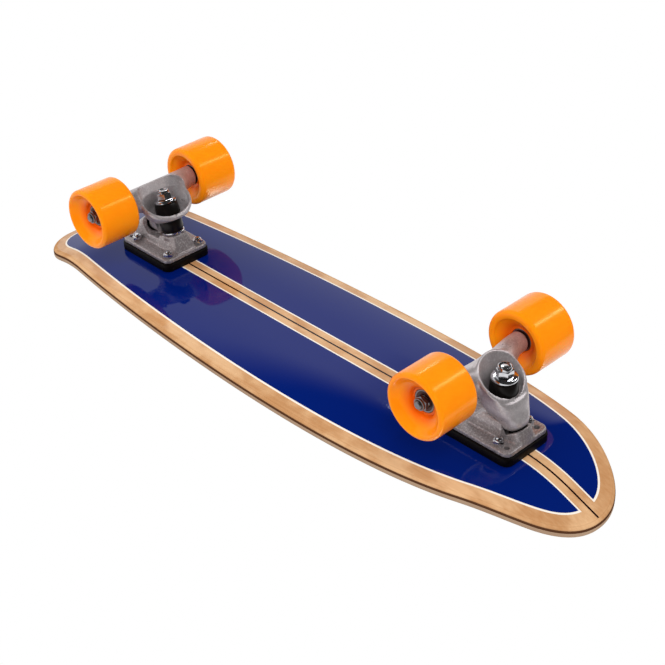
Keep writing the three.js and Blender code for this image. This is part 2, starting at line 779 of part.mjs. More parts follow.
// Hanger: the outer body with its bushing bay, the pivot stem, then the bowl, web hole and axle bore.
function buildHanger(truck, body, rootShare, bowlShares) {
  const stem = onSteer(truck, revolve([
    ...ballArc(BALL_R),
    [STEM_R, MOUTH],
    [STEM_R, MOUTH * rootShare],
    [0, MOUTH * rootShare],
  ]));
  const bay = onKingpin(truck, rod(BAY_R, -BAY_R, WEB_0, LOFT_SEGMENTS));
  const floor = along(truck.seat, truck.kingpin, WEB_1);
  const bowl = loft([
    ring(floor, truck.acrossKingpin, BUSHING_R + BOWL_CLEAR, BUSHING_R + BOWL_CLEAR),
    ...hangerRings(truck, bowlShares),
  ]);
  const bore = rod(AXLE_R + GAP, -ARM_END_Y - OVERRUN, ARM_END_Y + OVERRUN, SMALL_SEGMENTS);
  const solid = cut(
    joined(cut(body, bay), stem),
    bowl,
    onKingpin(truck, rod(WEB_HOLE_R, WEB_0 - OVERRUN, WEB_1 + OVERRUN)),
    bore.rotateX(Math.PI / 2).translate(0, 0, TRUCK_H),
  );
  return piece(`${truck.name}_hanger`, solid, "cast");
}

// What the tower would cut from a hanger as it swings: the tower with a margin, turned each way.
function towerSweep(truck, { flange, above }) {
  const grown = (corners) => corners.map(([u, half, h = 0], i) =>
    [u + (i % 2 ? SWEEP_SHARE : -SWEEP_SHARE), half + SWEEP_SHARE, h + SWEEP_SHARE]);
  return [-1, 0, 1].map((way) => {
    const shares = { flange: grown(flange), above: grown(above) };
    const tower = toGeometry(seatBlock(truck, shares));
    tower.translate(-truck.pivot.x, 0, -truck.pivot.z);
    const turn = new THREE.Quaternion().setFromAxisAngle(truck.steer, way * SWING_ANGLE);
    return tower.applyQuaternion(turn).translate(truck.pivot.x, 0, truck.pivot.z);
  });
}

function buildFrontHanger() {
  const body = joined(
    loft(hangerRings(FRONT, FRONT_BODY_SHARES)),
    armHousing(FRONT_ARM_R, FRONT_ARM_SHARES),
  );
  const relieved = cut(body, ...towerSweep(FRONT, FRONT_TOWER_SHARES));
  return buildHanger(FRONT, relieved, FRONT_ROOT_SHARE, FRONT_BOWL_SHARES);
}

function buildRearHanger() {
  const body = joined(
    loft(hangerRings(REAR, REAR_BODY_SHARES)),
    loft(hangerRings(REAR, REAR_STEM_SHARES)),
    armHousing(REAR_ARM_R, REAR_ARM_SHARES),
  );
  return buildHanger(REAR, body, REAR_ROOT_SHARE, REAR_BOWL_SHARES);
}

// Puts geometry built about +Z, from the board's middle outwards, on a truck's axle.
function onAxle(geometry, side) {
  return geometry.rotateX((-side * Math.PI) / 2).translate(0, 0, TRUCK_H);
}

function buildAxle(truck) {
  const inner = AXLE_END_Y - AXLE_CHAMFER;
  const geometry = revolve([
    [0, -AXLE_END_Y],
    [AXLE_R - AXLE_CHAMFER, -AXLE_END_Y],
    [AXLE_R, -inner],
    [AXLE_R, inner],
    [AXLE_R - AXLE_CHAMFER, AXLE_END_Y],
    [0, AXLE_END_Y],
  ], SMALL_SEGMENTS);
  return piece(`${truck.name}_axle`, onAxle(geometry, 1), "steel");
}

// Wheel: a soft-edged tread, and a coned recess on each side down to the bearing's seat.
function wheelProfile() {
  const seatR = BEARING_R + GAP;
  const innerSeat = INNER_BEARING_0;
  const outerSeat = OUTER_BEARING_0 + BEARING_W;
  const side = (edge, seat, out) => [
    [WHEEL_HUB_R, seat],
    [WHEEL_MOUTH_R, edge - out * WHEEL_MOUTH_ROUND],
    [WHEEL_MOUTH_R + WHEEL_MOUTH_ROUND, edge],
    [WHEEL_R - WHEEL_LIP, edge],
    [WHEEL_R - WHEEL_LIP * WHEEL_LIP_MID_SHARE, edge - out * WHEEL_LIP * WHEEL_LIP_MID_SHARE],
    [WHEEL_R, edge - out * WHEEL_LIP],
  ];
  return [
    [WHEEL_SHOULDER_R, innerSeat + BEARING_W + GAP],
    [seatR, innerSeat + BEARING_W + GAP],
    [seatR, innerSeat],
    ...side(WHEEL_CENTRE_Y - WHEEL_W / 2, innerSeat, -1),
    ...side(WHEEL_CENTRE_Y + WHEEL_W / 2, outerSeat, 1).reverse(),
    [seatR, outerSeat],
    [seatR, OUTER_BEARING_0 - GAP],
    [WHEEL_SHOULDER_R, OUTER_BEARING_0 - GAP],
  ];
}

function ringProfile(inner, outer, low, high) {
  return [[inner, low], [outer, low], [outer, high], [inner, high]];
}

function buildWheelSet(truck, side, label) {
  const name = `${truck.name}_${label}`;
  const turned = (profile, segments) => onAxle(revolve(profile, segments), side);
  const bearing = (low) => ringProfile(RACE_INNER_R + GAP, BEARING_R, low, low + BEARING_W);
  const sleeve = ringProfile(AXLE_R + GAP, RACE_INNER_R, SLEEVE_0, SLEEVE_1);
  const axleNut = nut(AXLE_NUT_AF, SLEEVE_1 + GAP, SLEEVE_1 + GAP + AXLE_NUT_H, AXLE_R);
  return [
    piece(`${name}_wheel`, turned(wheelProfile(), WHEEL_SEGMENTS), "urethane"),
    piece(`${name}_outer_bearing`, turned(bearing(OUTER_BEARING_0)), "shield"),
    piece(`${name}_inner_bearing`, turned(bearing(INNER_BEARING_0)), "shield"),
    piece(`${name}_bearing_sleeve`, turned(sleeve, SMALL_SEGMENTS), "steel"),
    piece(`${name}_axle_nut`, onAxle(axleNut, side), "steel"),
  ];
}

// Mounting bolts, heads sunk in the deck's top, and their lock nuts on the baseplate.
function buildHardware(truck) {
  const headTop = -DECK_T + GAP / 2;
  const nutLow = PLATE_1 + GAP;
  const nutHigh = nutLow + LOCK_NUT_H;
  const pieces = [];
  for (const offset of [0, HOLE_SHORT]) {
    for (const side of [1, -1]) {
      const number = pieces.length / 2 + 1;
      const bolt = revolve([
        [0, headTop],
        [BOLT_HEAD_R, headTop],
        [BOLT_R, headTop + BOLT_HEAD_H],
        [BOLT_R, nutHigh + BOLT_TAIL],
        [0, nutHigh + BOLT_TAIL],
      ], BOLT_SEGMENTS);
      const lockNut = nut(LOCK_NUT_AF, nutLow, nutHigh, BOLT_R);
      const [u, y] = [truck.holeU + offset, (side * HOLE_CROSS) / 2];
      pieces.push(piece(`${truck.name}_bolt_${number}`, bolt.translate(u, y, 0), "steel"));
      pieces.push(piece(`${truck.name}_lock_nut_${number}`, lockNut.translate(u, y, 0), "steel"));
    }
  }
  return pieces;
}

// A truck is built with its mounting face at zero and its axle away from the deck.
function buildTruck(truck, baseplate, hanger) {
  const group = new THREE.Group();
  group.add(
    buildRiser(truck),
    baseplate,
    buildKingpin(truck),
    cupWasher(truck, "board", GAP, 1),
    bushing(truck, "board", BOARD_BUSHING_0, BOARD_BUSHING_H, -1),
    bushing(truck, "road", ROAD_BUSHING_0, ROAD_BUSHING_H, 1),
    cupWasher(truck, "road", ROAD_WASHER_0, -1),
    buildKingpinNut(truck),
    buildPivotCup(truck),
    hanger,
    buildAxle(truck),
    ...buildHardware(truck),
  );
  return group;
}

const board = new THREE.Group();
board.add(buildDeck(), buildGrip());

// Both trucks are turned over, the front one about X and the rear one about Y to face the tail.
const frontPlate = buildBaseplate(
  FRONT,
  seatBlock(FRONT, FRONT_TOWER_SHARES),
  pivotBlock(FRONT, FRONT_WEDGE_SHARES),
  loft(bossRings(FRONT, FRONT_BOSS_SHARES)),
);
const frontTruck = buildTruck(FRONT, frontPlate, buildFrontHanger());
frontTruck.add(...buildWheelSet(FRONT, -1, "left"), ...buildWheelSet(FRONT, 1, "right"));
frontTruck.rotation.x = Math.PI;
frontTruck.position.set(AXLE_X, 0, DECK_Z);
board.add(frontTruck);

const rearPlate = buildBaseplate(
  REAR,
  seatBlock(REAR, REAR_TOWER_SHARES),
  seatBlock(REAR, REAR_LEDGE_SHARES),
  loft(bossRings(REAR, REAR_BOSS_SHARES)),
);
const rearTruck = buildTruck(REAR, rearPlate, buildRearHanger());
rearTruck.add(...buildWheelSet(REAR, 1, "left"), ...buildWheelSet(REAR, -1, "right"));
rearTruck.rotation.y = Math.PI;
rearTruck.position.set(-AXLE_X, 0, DECK_Z);
board.add(rearTruck);

export default board;
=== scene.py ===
import math

import bmesh
import bpy
import numpy as np
from mathutils import Matrix, Vector


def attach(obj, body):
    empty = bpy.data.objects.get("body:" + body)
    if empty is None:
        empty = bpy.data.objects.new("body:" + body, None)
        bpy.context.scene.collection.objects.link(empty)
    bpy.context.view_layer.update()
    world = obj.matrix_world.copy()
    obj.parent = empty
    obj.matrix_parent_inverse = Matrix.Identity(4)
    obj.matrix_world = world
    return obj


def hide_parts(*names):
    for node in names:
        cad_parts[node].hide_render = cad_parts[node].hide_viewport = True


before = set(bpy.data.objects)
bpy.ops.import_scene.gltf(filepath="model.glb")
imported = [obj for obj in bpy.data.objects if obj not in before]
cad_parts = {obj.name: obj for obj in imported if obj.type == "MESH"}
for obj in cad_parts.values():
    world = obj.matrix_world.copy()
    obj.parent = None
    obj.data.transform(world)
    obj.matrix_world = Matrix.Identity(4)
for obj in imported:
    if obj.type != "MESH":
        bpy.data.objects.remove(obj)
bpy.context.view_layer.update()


# The deck
# Seven plies of maple pressed over a mould, with a kicked nose and tail and raised sides.
# Its underside is lacquered: two navy panels inside white pinlines and a bare stringer between.
MM = 0.001
UNDERSIDE_H, DECK_THICK = 102.6, 10.5
NOSE_TIP, TAIL_TIP, DECK_HALF = 372.2, -372.2, 101.5
FLAT_HALF, CONCAVE = 31, 9
NOSE_KICK_AT, NOSE_KICK_RUN, NOSE_KICK_SLOPE = 278, 60, 0.42
TAIL_KICK_AT, TAIL_KICK_RUN, TAIL_KICK_SLOPE = -272, 40, 0.3
RAIL_ROUND, RAIL_STEPS, RAIL_MIDDLE = 3.5, 5, 5.2
SPINE_END, OUTLINE_STEPS = 75, 60
SHEET_ROWS, ROW_EASE = {"deck": 26, "grip": 18}, 0.85
EDGE_CURVES = [
    [(NOSE_TIP, 0), (NOSE_TIP, 75), (250, DECK_HALF), (50, DECK_HALF)],
    [(50, DECK_HALF), (-70, DECK_HALF), (-220, 92), (-325, 75)],
    [(-325, 75), (-352, 70.6), (TAIL_TIP + 1.5, 50), (TAIL_TIP + 1.5, 22)],
    [(TAIL_TIP + 1.5, 22), (TAIL_TIP + 1.2, 14), (TAIL_TIP, 8), (TAIL_TIP, 0)],
]
PINLINE_INSET, PINLINE_WIDE, PINLINE_SOFT = 14.2, 1.9, 0.25
STRINGER_HALF, STRINGER_LINE, CENTRE_LINE_HALF, STRINGER_SOFT = 10.2, 1.5, 1.0, 0.2
PLY_THICK, DYED_LOW, DYED_HIGH = 1.5, 1.8, 4.2
COAT_INSET, COAT_SOFT = 1.4, 0.8
AXLE_X = 234
HOLE_START = {"front": -16, "rear": -43}
HOLE_CROSS, HOLE_SHORT, HOLE_LONG = 41.28, 53.98, 63.5
HOLE_R, SINK_R, SINK_DEPTH, HEAD_DEPTH = 2.7, 5.0, 3.1, 0.45
HOLE_SIDES, OVERRUN = 32, 4
# A truck's own axes: u runs out towards the nose or the tail, h from the underside to the road.
TRUCKS = {
    "front": Matrix.Translation((AXLE_X, 0, UNDERSIDE_H)) @ Matrix.Rotation(math.pi, 4, "X"),
    "rear": Matrix.Translation((-AXLE_X, 0, UNDERSIDE_H)) @ Matrix.Rotation(math.pi, 4, "Y"),
}
BOLT_SPOTS = [tuple(TRUCKS[truck] @ Vector((HOLE_START[truck] + along, side, 0)))
              for truck in TRUCKS for along in (0, HOLE_SHORT) for side in (HOLE_CROSS / 2, -HOLE_CROSS / 2)]


def paint(red, green, blue):
    """A colour as a painter reads it, 0 to 255, made linear for the shader."""
    return (*[(c / 255) ** 2.2 for c in (red, green, blue)], 1)


class Wire:
    """One output of a finish's node tree; sums on it add Math nodes."""

    def __init__(self, finish, socket):
        self.finish, self.socket = finish, socket

    def sum(self, operation, *others):
        return self.finish.node("ShaderNodeMath", {"operation": operation}, [self, *others])

    def __add__(self, other):
        return self.sum("ADD", other)

    def __mul__(self, other):
        return self.sum("MULTIPLY", other)

    def __sub__(self, other):
        return self.sum("SUBTRACT", other)

    def __rsub__(self, other):
        return self.finish.node("ShaderNodeMath", {"operation": "SUBTRACT"}, [other, self])

    def __abs__(self):
        return self.sum("ABSOLUTE")

    __radd__ = __add__
    __rmul__ = __mul__

    def past(self, edge, soft):
        """0 below an edge, 1 above it, over a soft width."""
        return self.finish.node(
            "ShaderNodeMapRange", {"interpolation_type": "SMOOTHSTEP"},
            {"Value": self, "From Min": edge - soft / 2, "From Max": edge + soft / 2})


class Nodes:
    """A shader's node tree, with nodes added by `node`."""

    def __init__(self, tree):
        self.tree = tree

    def node(self, kind, settings=None, inputs=None, output=0):
        made = self.tree.nodes.new(kind)
        for key, value in (settings or {}).items():
            setattr(made, key, value)
        pairs = inputs.items() if isinstance(inputs, dict) else enumerate(inputs or [])
        for socket, value in pairs:
            if isinstance(value, Wire):
                self.tree.links.new(value.socket, made.inputs[socket])
            else:
                made.inputs[socket].default_value = value
        return Wire(self, made.outputs[output])

    def place(self, scale=(1, 1, 1)):
        """Object coordinates, stretched for a grain's direction."""
        coords = self.node("ShaderNodeTexCoord", output="Object")
        return self.node("ShaderNodeMapping", inputs={"Vector": coords, "Scale": scale})

    def split(self, vector):
        """The three parts of a vector."""
        parts = self.node("ShaderNodeSeparateXYZ", inputs=[vector])
        return [Wire(self, part) for part in parts.socket.node.outputs]

    def grain(self, scale, detail, vector, rough=0.5):
        return self.node("ShaderNodeTexNoise",
                         inputs={"Vector": vector, "Scale": scale, "Detail": detail, "Roughness": rough})

    def mix(self, factor, first, second):
        """The second colour over the first, by a factor."""
        return self.node("ShaderNodeMix", {"data_type": "RGBA"}, {0: factor, 6: first, 7: second}, output=2)

    def bump(self, height, strength, distance):
        return self.node("ShaderNodeBump",
                         inputs={"Height": height, "Strength": strength, "Distance": distance * MM})


class Finish(Nodes):
    """A surface finish: shader values set on the sockets, and wires fed to them."""

    def __init__(self, name, **shader):
        self.material = bpy.data.materials.new(name)
        self.material.use_nodes = True
        super().__init__(self.material.node_tree)
        self.shader = self.tree.nodes["Principled BSDF"]
        for socket, value in shader.items():
            self.shader.inputs[socket.replace("_", " ")].default_value = value

    def feed(self, **wires):
        for socket, wire in wires.items():
            self.tree.links.new(wire.socket, self.shader.inputs[socket.replace("_", " ")])
        return self.material


def added(name, data):
    """A new object for the data, in the scene."""
    made = bpy.data.objects.new(name, data)
    bpy.context.scene.collection.objects.link(made)
    return made


def solid(name, points, faces, material, sharp=32, flow=None):
    """A mesh object from points in millimetres, merged, facing outwards and shaded smooth."""
    mesh = bpy.data.meshes.new(name)
    mesh.from_pydata([tuple(c * MM for c in p) for p in points], [], faces)
    if flow is not None:
        layer = mesh.uv_layers.new(name="sheet")
        corner = np.empty(len(mesh.loops), dtype=np.int32)
        mesh.loops.foreach_get("vertex_index", corner)
        layer.data.foreach_set("uv", np.asarray(flow, dtype=np.float32)[corner].ravel())
    bm = bmesh.new()
    bm.from_mesh(mesh)
    bmesh.ops.remove_doubles(bm, verts=bm.verts, dist=1e-6)
    bmesh.ops.dissolve_degenerate(bm, edges=bm.edges, dist=1e-7)
    bmesh.ops.recalc_face_normals(bm, faces=bm.faces)
    bm.to_mesh(mesh)
    bm.free()
    mesh.shade_smooth()
    mesh.set_sharp_from_angle(angle=math.radians(sharp))
    if material:
        mesh.materials.append(material)
    return added(name, mesh)


def rail_corner(low, turn):
    """[inset, height] rows of the rail's quarter round, out to the edge or back from it."""
    rows = []
    for step in range(RAIL_STEPS + 1):
        angle = math.pi / 2 * step / RAIL_STEPS
        shift, up = 1 - math.cos(angle), math.sin(angle)
        inset, rise = (1 - up, shift) if turn > 0 else (shift, up)
        rows.append((RAIL_ROUND * inset, low + RAIL_ROUND * rise))
    return rows


def bezier(a, b, c, d, count):
    t = np.linspace(0, 1, count, endpoint=False)[:, None]
    a, b, c, d = (np.array(p, dtype=float) for p in (a, b, c, d))
    return (1 - t) ** 3 * a + 3 * (1 - t) ** 2 * t * b + 3 * (1 - t) * t ** 2 * c + t ** 3 * d


def kick(distance, run, slope):
    eased = slope * np.clip(distance, 0, run) ** 2 / (2 * run)
    return eased + slope * np.clip(distance - run, 0, None)


def deck_rise(x, y):
    side = np.clip(np.abs(y) - FLAT_HALF, 0, None) / (DECK_HALF - FLAT_HALF)
    return (kick(x - NOSE_KICK_AT, NOSE_KICK_RUN, NOSE_KICK_SLOPE)
            + kick(TAIL_KICK_AT - x, TAIL_KICK_RUN, TAIL_KICK_SLOPE) + CONCAVE * side ** 2)


def deck_outline():
    half = np.concatenate([bezier(*curve, OUTLINE_STEPS) for curve in EDGE_CURVES] + [[(TAIL_TIP, 0)]])
    return np.concatenate([half, half[-2:0:-1] * (1, -1)])


def bands(count, rings, hoop=False):
    """Faces between neighbouring rings of points, and from the last ring to the first for a hoop."""
    faces = []
    for k in range(rings if hoop else rings - 1):
        start, after = k * count, (k + 1) % rings * count
        for i in range(count):
            j = (i + 1) % count
            faces.append((start + i, start + j, after + j, after + i))
    return faces


def pressed_sheet(name, layers, base, material, across):
    """A closed sheet that follows the deck: each layer is [inset from the outline, height]."""
    edge = deck_outline()
    inner = np.stack([np.clip(edge[:, 0], TAIL_TIP + SPINE_END, NOSE_TIP - SPINE_END), edge[:, 0] * 0], 1)
    reach = np.linalg.norm(edge - inner, axis=1)[:, None]
    shares = np.linspace(0, 1, across, endpoint=False) ** ROW_EASE
    rows = [(share, *layers[0]) for share in shares] + [(1, *layer) for layer in layers]
    rows += [(share, *layers[-1]) for share in shares[::-1]]
    points, flow = [], []
    run = np.roll(edge, -1, axis=0) - edge
    for share, inset, height in rows:
        at = inner + (edge - inner) * share * (reach - inset) / reach
        rise = base + deck_rise(at[:, 0], at[:, 1]) + height
        points.append(np.column_stack([at, rise]))
        along = np.clip(((at[:, None] - edge) * run).sum(2) / (run ** 2).sum(1), 0, 1)
        gap = np.linalg.norm(at[:, None] - (edge + run * along[..., None]), axis=2).min(1)
        flow.append(np.column_stack([gap, np.full(len(gap), height)]) * MM)
    return solid(name, np.concatenate(points), bands(len(edge), len(rows)), material, sharp=40,
                 flow=np.concatenate(flow))


def stacked(rings):
    """Rings of equal count joined into a closed skin, with a fan over each end."""
    count = len(rings[0])
    points = [p for ring in rings for p in ring]
    faces = bands(count, len(rings))
    for k in (0, len(rings) - 1):
        points.append(tuple(np.mean(rings[k], axis=0)))
        faces += [(k * count + i, k * count + (i + 1) % count, len(points) - 1) for i in range(count)]
    return points, faces


def lathed(rows, count=64):
    """Rings about Z from [radius, height] rows; either may be a function of the angle."""
    def at(value, angle):
        return value(angle) if callable(value) else value

    angles = np.linspace(0, 2 * math.pi, count, endpoint=False)
    return [[(at(radius, a) * math.cos(a), at(radius, a) * math.sin(a), at(height, a)) for a in angles]
            for radius, height in rows]


def gathered(forms):
    """Several forms, each of points and faces, as one."""
    points, faces = [], []
    for some, joins in forms:
        faces += [tuple(i + len(points) for i in face) for face in joins]
        points += some
    return points, faces


def modify(target, kind, **settings):
    step = target.modifiers.new("step", kind)
    for key, value in settings.items():
        setattr(step, key, value)


def settle(target):
    """The modifiers' result as the object's own mesh."""
    ready = bpy.data.meshes.new_from_object(target.evaluated_get(bpy.context.evaluated_depsgraph_get()))
    target.modifiers.clear()
    old, target.data = target.data, ready
    bpy.data.meshes.remove(old)


def cut_away(target, forms):
    """Each form taken out of the target."""
    for points, faces in forms:
        tool = solid("tool", points, faces, None)
        modify(target, "BOOLEAN", operation="DIFFERENCE", solver="MANIFOLD", object=tool)
        settle(target)
        bpy.data.objects.remove(tool)


def at_bolts(rows):
    """The same turned form at every bolt, as points and faces."""
    points, faces = stacked(lathed(rows, HOLE_SIDES))
    return gathered([([(a + x, b + y, c + z) for a, b, c in points], faces) for x, y, z in BOLT_SPOTS])


def maple_colour(finish, light, dark):
    """Maple: pale, with close fibres along the board, slow bands across it and a soft flame."""
    fibre = finish.grain(38, 6, finish.place(scale=(0.5, 9, 9)))
    band = finish.grain(7, 3, finish.place(scale=(0.35, 5, 5)))
    flame = finish.grain(24, 4, finish.place(scale=(1, 1.6, 1.6))).past(0.5, 0.22)
    return finish.mix(fibre * 0.45 + band * 0.35 + flame * 0.4, light, dark)


def deck_finish():
    finish = Finish("lacquered_maple", Coat_Roughness=0.05, Coat_IOR=1.5, Specular_IOR_Level=0.0)
    bare = maple_colour(finish, paint(232, 192, 148), paint(176, 124, 80))
    flow = finish.node("ShaderNodeUVMap", {"uv_map": "sheet"})
    edge, height = [part * (1 / MM) for part in finish.split(flow)[:2]]
    across = abs(finish.split(finish.place())[1] * (1 / MM))
    # Underside: navy panels lie inside the pinline and beside the stringer.
    below = 1 - height.past(0.05, 0.08)
    panel = edge.past(PINLINE_INSET + PINLINE_WIDE, PINLINE_SOFT)
    beside = across.past(STRINGER_HALF, STRINGER_SOFT)
    strip = 1 - across.past(STRINGER_HALF - STRINGER_LINE, STRINGER_SOFT)
    cloud = finish.grain(5, 2, finish.place(scale=(1, 1.6, 1)))
    navy = finish.mix(cloud, paint(4, 28, 98), paint(8, 34, 106))
    art = finish.mix(panel * beside, paint(238, 230, 218), navy)
    art = finish.mix(strip, art, bare)
    centre = 1 - across.past(CENTRE_LINE_HALF, STRINGER_SOFT)
    art = finish.mix(1 - edge.past(PINLINE_INSET, PINLINE_SOFT), art, bare)
    art = finish.mix(centre, art, paint(30, 14, 16))
    # Rail: seven plies, sanded and sealed; the second and third are dyed, the upper ones greyed.
    seam = abs((height * (1 / PLY_THICK)).sum("FRACT") - 0.5).past(0.44, 0.06)
    rail = finish.mix(seam * 0.35, bare, paint(120, 88, 58))
    above = height.past(DYED_HIGH, 0.2)
    rail = finish.mix(above * 0.75, rail, paint(168, 146, 128))
    rail = finish.mix(height.past(DYED_LOW, 0.3) * (1 - above), rail, paint(84, 56, 40))
    colour = finish.mix(below, rail, art)
    fine = finish.grain(900, 2, finish.place(scale=(0.12, 1, 1)))
    coat = below * edge.past(RAIL_ROUND + COAT_INSET, COAT_SOFT) * 0.6
    return finish.feed(Base_Color=colour, Roughness=0.5 - below * 0.12, Coat_Weight=coat,
                       Normal=finish.bump(fine * 0.3, 0.15, 0.05))


deck_layers = [*rail_corner(0, 1), (0, RAIL_MIDDLE), *rail_corner(DECK_THICK - RAIL_ROUND, -1)]
deck = pressed_sheet("pressed_deck", deck_layers, UNDERSIDE_H, deck_finish(), SHEET_ROWS["deck"])
cut_away(deck, [at_bolts([(HOLE_R, -OVERRUN), (HOLE_R, DECK_THICK - SINK_DEPTH),
                          (SINK_R, DECK_THICK - HEAD_DEPTH), (SINK_R, DECK_THICK + OVERRUN)])])
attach(deck, "board")
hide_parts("deck")


# The grip sheet
# Silicon-carbide grit glued to the standing face and trimmed flush at the rail.
GRIT_THICK, GRIT_BEVEL = 1.3, 0.3


def grit_finish():
    finish = Finish("grit_sheet", Specular_IOR_Level=0.4)
    coarse = finish.grain(1500, 3, finish.place(), rough=0.8)
    spark = coarse.past(0.68, 0.08)
    colour = finish.mix(spark, paint(20, 20, 23), paint(96, 96, 102))
    return finish.feed(Base_Color=colour, Roughness=0.95 - spark * 0.45, Normal=finish.bump(coarse, 0.8, 0.35))


grip = pressed_sheet(
    "grit_sheet", [(RAIL_ROUND, 0), (RAIL_ROUND, GRIT_THICK - GRIT_BEVEL), (RAIL_ROUND + GRIT_BEVEL, GRIT_THICK)],
    UNDERSIDE_H + DECK_THICK, grit_finish(), SHEET_ROWS["grip"])
cut_away(grip, [at_bolts([(SINK_R, DECK_THICK - OVERRUN), (SINK_R, DECK_THICK + OVERRUN)])])
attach(grip, "board")
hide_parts("grip_tape")


# The riser pads
# Hard rubber plates between each truck and the deck, a little wider than the baseplates.
PLATE_CENTRE = {"front": 15.75, "rear": -11.25}
PLATE_LONG, PLATE_WIDE, PLATE_CORNER = 79.5, 58, 7
RISER_EDGE, RISER_HIGH = 1.5, 9
RISER_ROUND, RISER_SHOULDER, RISER_LOW = 0.8, 0.3, 0.05
CORNER_STEPS = 8


def rounded_slab(centre, long, wide, corner, levels):
    """Points and faces of a slab: each level is [height, inset]."""
    rings = []
    for height, inset in levels:
        radius = max(corner - inset, 0.2)
        reach_x, reach_y = long / 2 - inset - radius, wide / 2 - inset - radius
        ring = []
        for quarter, (sx, sy) in enumerate(((1, 1), (-1, 1), (-1, -1), (1, -1))):
            for step in range(CORNER_STEPS + 1):
                angle = math.pi / 2 * (quarter + step / CORNER_STEPS)
                ring.append((centre + sx * reach_x + radius * math.cos(angle),
                             sy * reach_y + radius * math.sin(angle), height))
        rings.append(ring)
    return stacked(rings)


def moved(form, *places):
    """A form moved by one or more matrices, the last one first."""
    points, faces = form
    whole = Matrix.Identity(4)
    for place in places:
        whole = whole @ place
    return [tuple(whole @ Vector(p)) for p in points], faces


def rubber_finish():
    finish = Finish("moulded_rubber", Roughness=0.5, Specular_IOR_Level=0.12)
    grain = finish.grain(420, 4, finish.place())
    return finish.feed(Base_Color=finish.mix(grain, paint(8, 7, 8), paint(22, 18, 17)),
                       Normal=finish.bump(grain, 0.3, 0.12))


moulded_rubber = rubber_finish()
for truck, place in TRUCKS.items():
    slab = rounded_slab(
        PLATE_CENTRE[truck], PLATE_LONG + 2 * RISER_EDGE, PLATE_WIDE + 2 * RISER_EDGE, PLATE_CORNER + RISER_EDGE,
        [(RISER_LOW, RISER_ROUND), (RISER_SHOULDER, RISER_SHOULDER), (RISER_ROUND, 0),
         (RISER_HIGH - RISER_ROUND, 0), (RISER_HIGH - RISER_SHOULDER, RISER_SHOULDER), (RISER_HIGH, RISER_ROUND)])
    pad = solid(f"{truck}_riser", *moved(slab, place), moulded_rubber)
    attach(pad, "board")
    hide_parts(f"{truck}_riser_pad")


# The baseplates
# Permanent-mould aluminium castings: a drilled flange, the kingpin's tower with its flat seat,
# and the boss that holds the pivot cup. Tumbled after casting, so edges are soft.
FLANGE_LOW, FLANGE_HIGH, FLANGE_BEVEL = 9.3, 14.3, 0.5
SEAT = {"front": (24.5, 31.0), "rear": (-29.0, 29.3)}
LEAN = {"front": 0.0, "rear": math.radians(15.4)}
PIVOT = {"front": (43.9, 19.5), "rear": (6.2, 28.2)}
WEB_MIDDLE, SEAT_R = 19.3, 12
PIN_R, PIN_FLATS, PIN_PLAY = 4.75, 14.3, 0.3
PIN_HEAD, PIN_HEAD_HIGH = {"front": -21.4, "rear": -18.16}, 5.5
SOCKET_R, SOCKET_FLOOR, SOCKET_CONE = 8.8, -7.5, -3.5
VALLEY_R, VALLEY_LOW, VALLEY_HIGH = 13, 2.2, 25.2
DRILL_LOW, SEAT_CLEAR, DRILL_HIGH = -40, 20, 60
LOFT_COUNT, LOFT_STEPS, DRILL_SIDES = 88, 7, 24
# [voxel, softening rounds] before the cuts, then after them.
PLATE_CAST = ((0.8, 4), (0.62, 2))
# A block is the hull of its corners, [u, half width, h], and of their mirrored ones.
TOWER_BLOCKS = {
    "front": [[(-6.5, 16.2, 12.8), (36.2, 15.6, 12.8), (1.0, 15.6, 22.0), (36.5, 15.4, 24.4), (12.5, 11.6, 31.0),
               (34.3, 13.6, 31.0)]],
    "rear": [[(-49.6, 13.2, 12.8), (-12.0, 14.6, 12.8), (-40.6, 8.8, 32.4), (-17.6, 11.6, 26.1)],
             [(-46.0, 13.0, 12.8), (22.0, 15.0, 12.8), (-40.0, 11.6, 22.4), (16.0, 14.0, 22.4)]],
}
BOSS_BLOCKS = {
    "front": [[(30.0, 15.4, 12.8), (55.2, 8.6, 12.8), (30.0, 15.2, 24.2), (50.2, 7.2, 24.2)]],
    "rear": [],
}
# An oval row is [u, h, half length, half width, tilt in degrees, inboard power, outboard power];
# a power of 2 makes a true oval, a higher one squarer corners.
BOSS_ROWS = {
    "front": [(44.2, 12.6, 11.2, 12.4, 0, 4, 3), (43.8, 15.6, 10.8, 12.0, 6, 4, 3),
              (42.7, 21.4, 11.0, 11.6, 32, 3.4, 3)],
    "rear": [(11.0, 12.6, 15.4, 15.2, 0, 6, 5), (11.0, 15.6, 14.6, 14.8, 6, 6, 5),
             (10.6, 23.8, 12.2, 14.4, 30, 6, 3.4), (4.8, 29.0, 10.8, 13.9, 56, 6, 2.8)],
}


def seat_place(truck):
    """From the kingpin's own line, starting at its seat, to the truck."""
    u, h = SEAT[truck]
    return Matrix.Translation((u, 0, h)) @ Matrix.Rotation(LEAN[truck], 4, "Y")


def steer_place(truck):
    """From the steering axis, starting at the pivot, to the truck."""
    u, h = PIVOT[truck]
    seat_u, seat_h = SEAT[truck]
    run = (seat_u + WEB_MIDDLE * math.sin(LEAN[truck]) - u, seat_h + WEB_MIDDLE * math.cos(LEAN[truck]) - h)
    return Matrix.Translation((u, 0, h)) @ Matrix.Rotation(math.atan2(*run), 4, "Y")


def oval_ring(u, h, half_long, half_wide, tilt, power, forward_power):
    """A ring in the plane that leans by tilt degrees from the truck's length."""
    angle = np.linspace(0, 2 * math.pi, LOFT_COUNT, endpoint=False)
    c, s = np.cos(angle), np.sin(angle)
    reach = 2 / np.where(c > 0, forward_power, power)
    a = np.sign(c) * np.abs(c) ** reach * half_long
    b = np.sign(s) * np.abs(s) ** reach * half_wide
    lean = math.radians(tilt)
    return list(zip(u + a * math.cos(lean), b, h + a * math.sin(lean)))


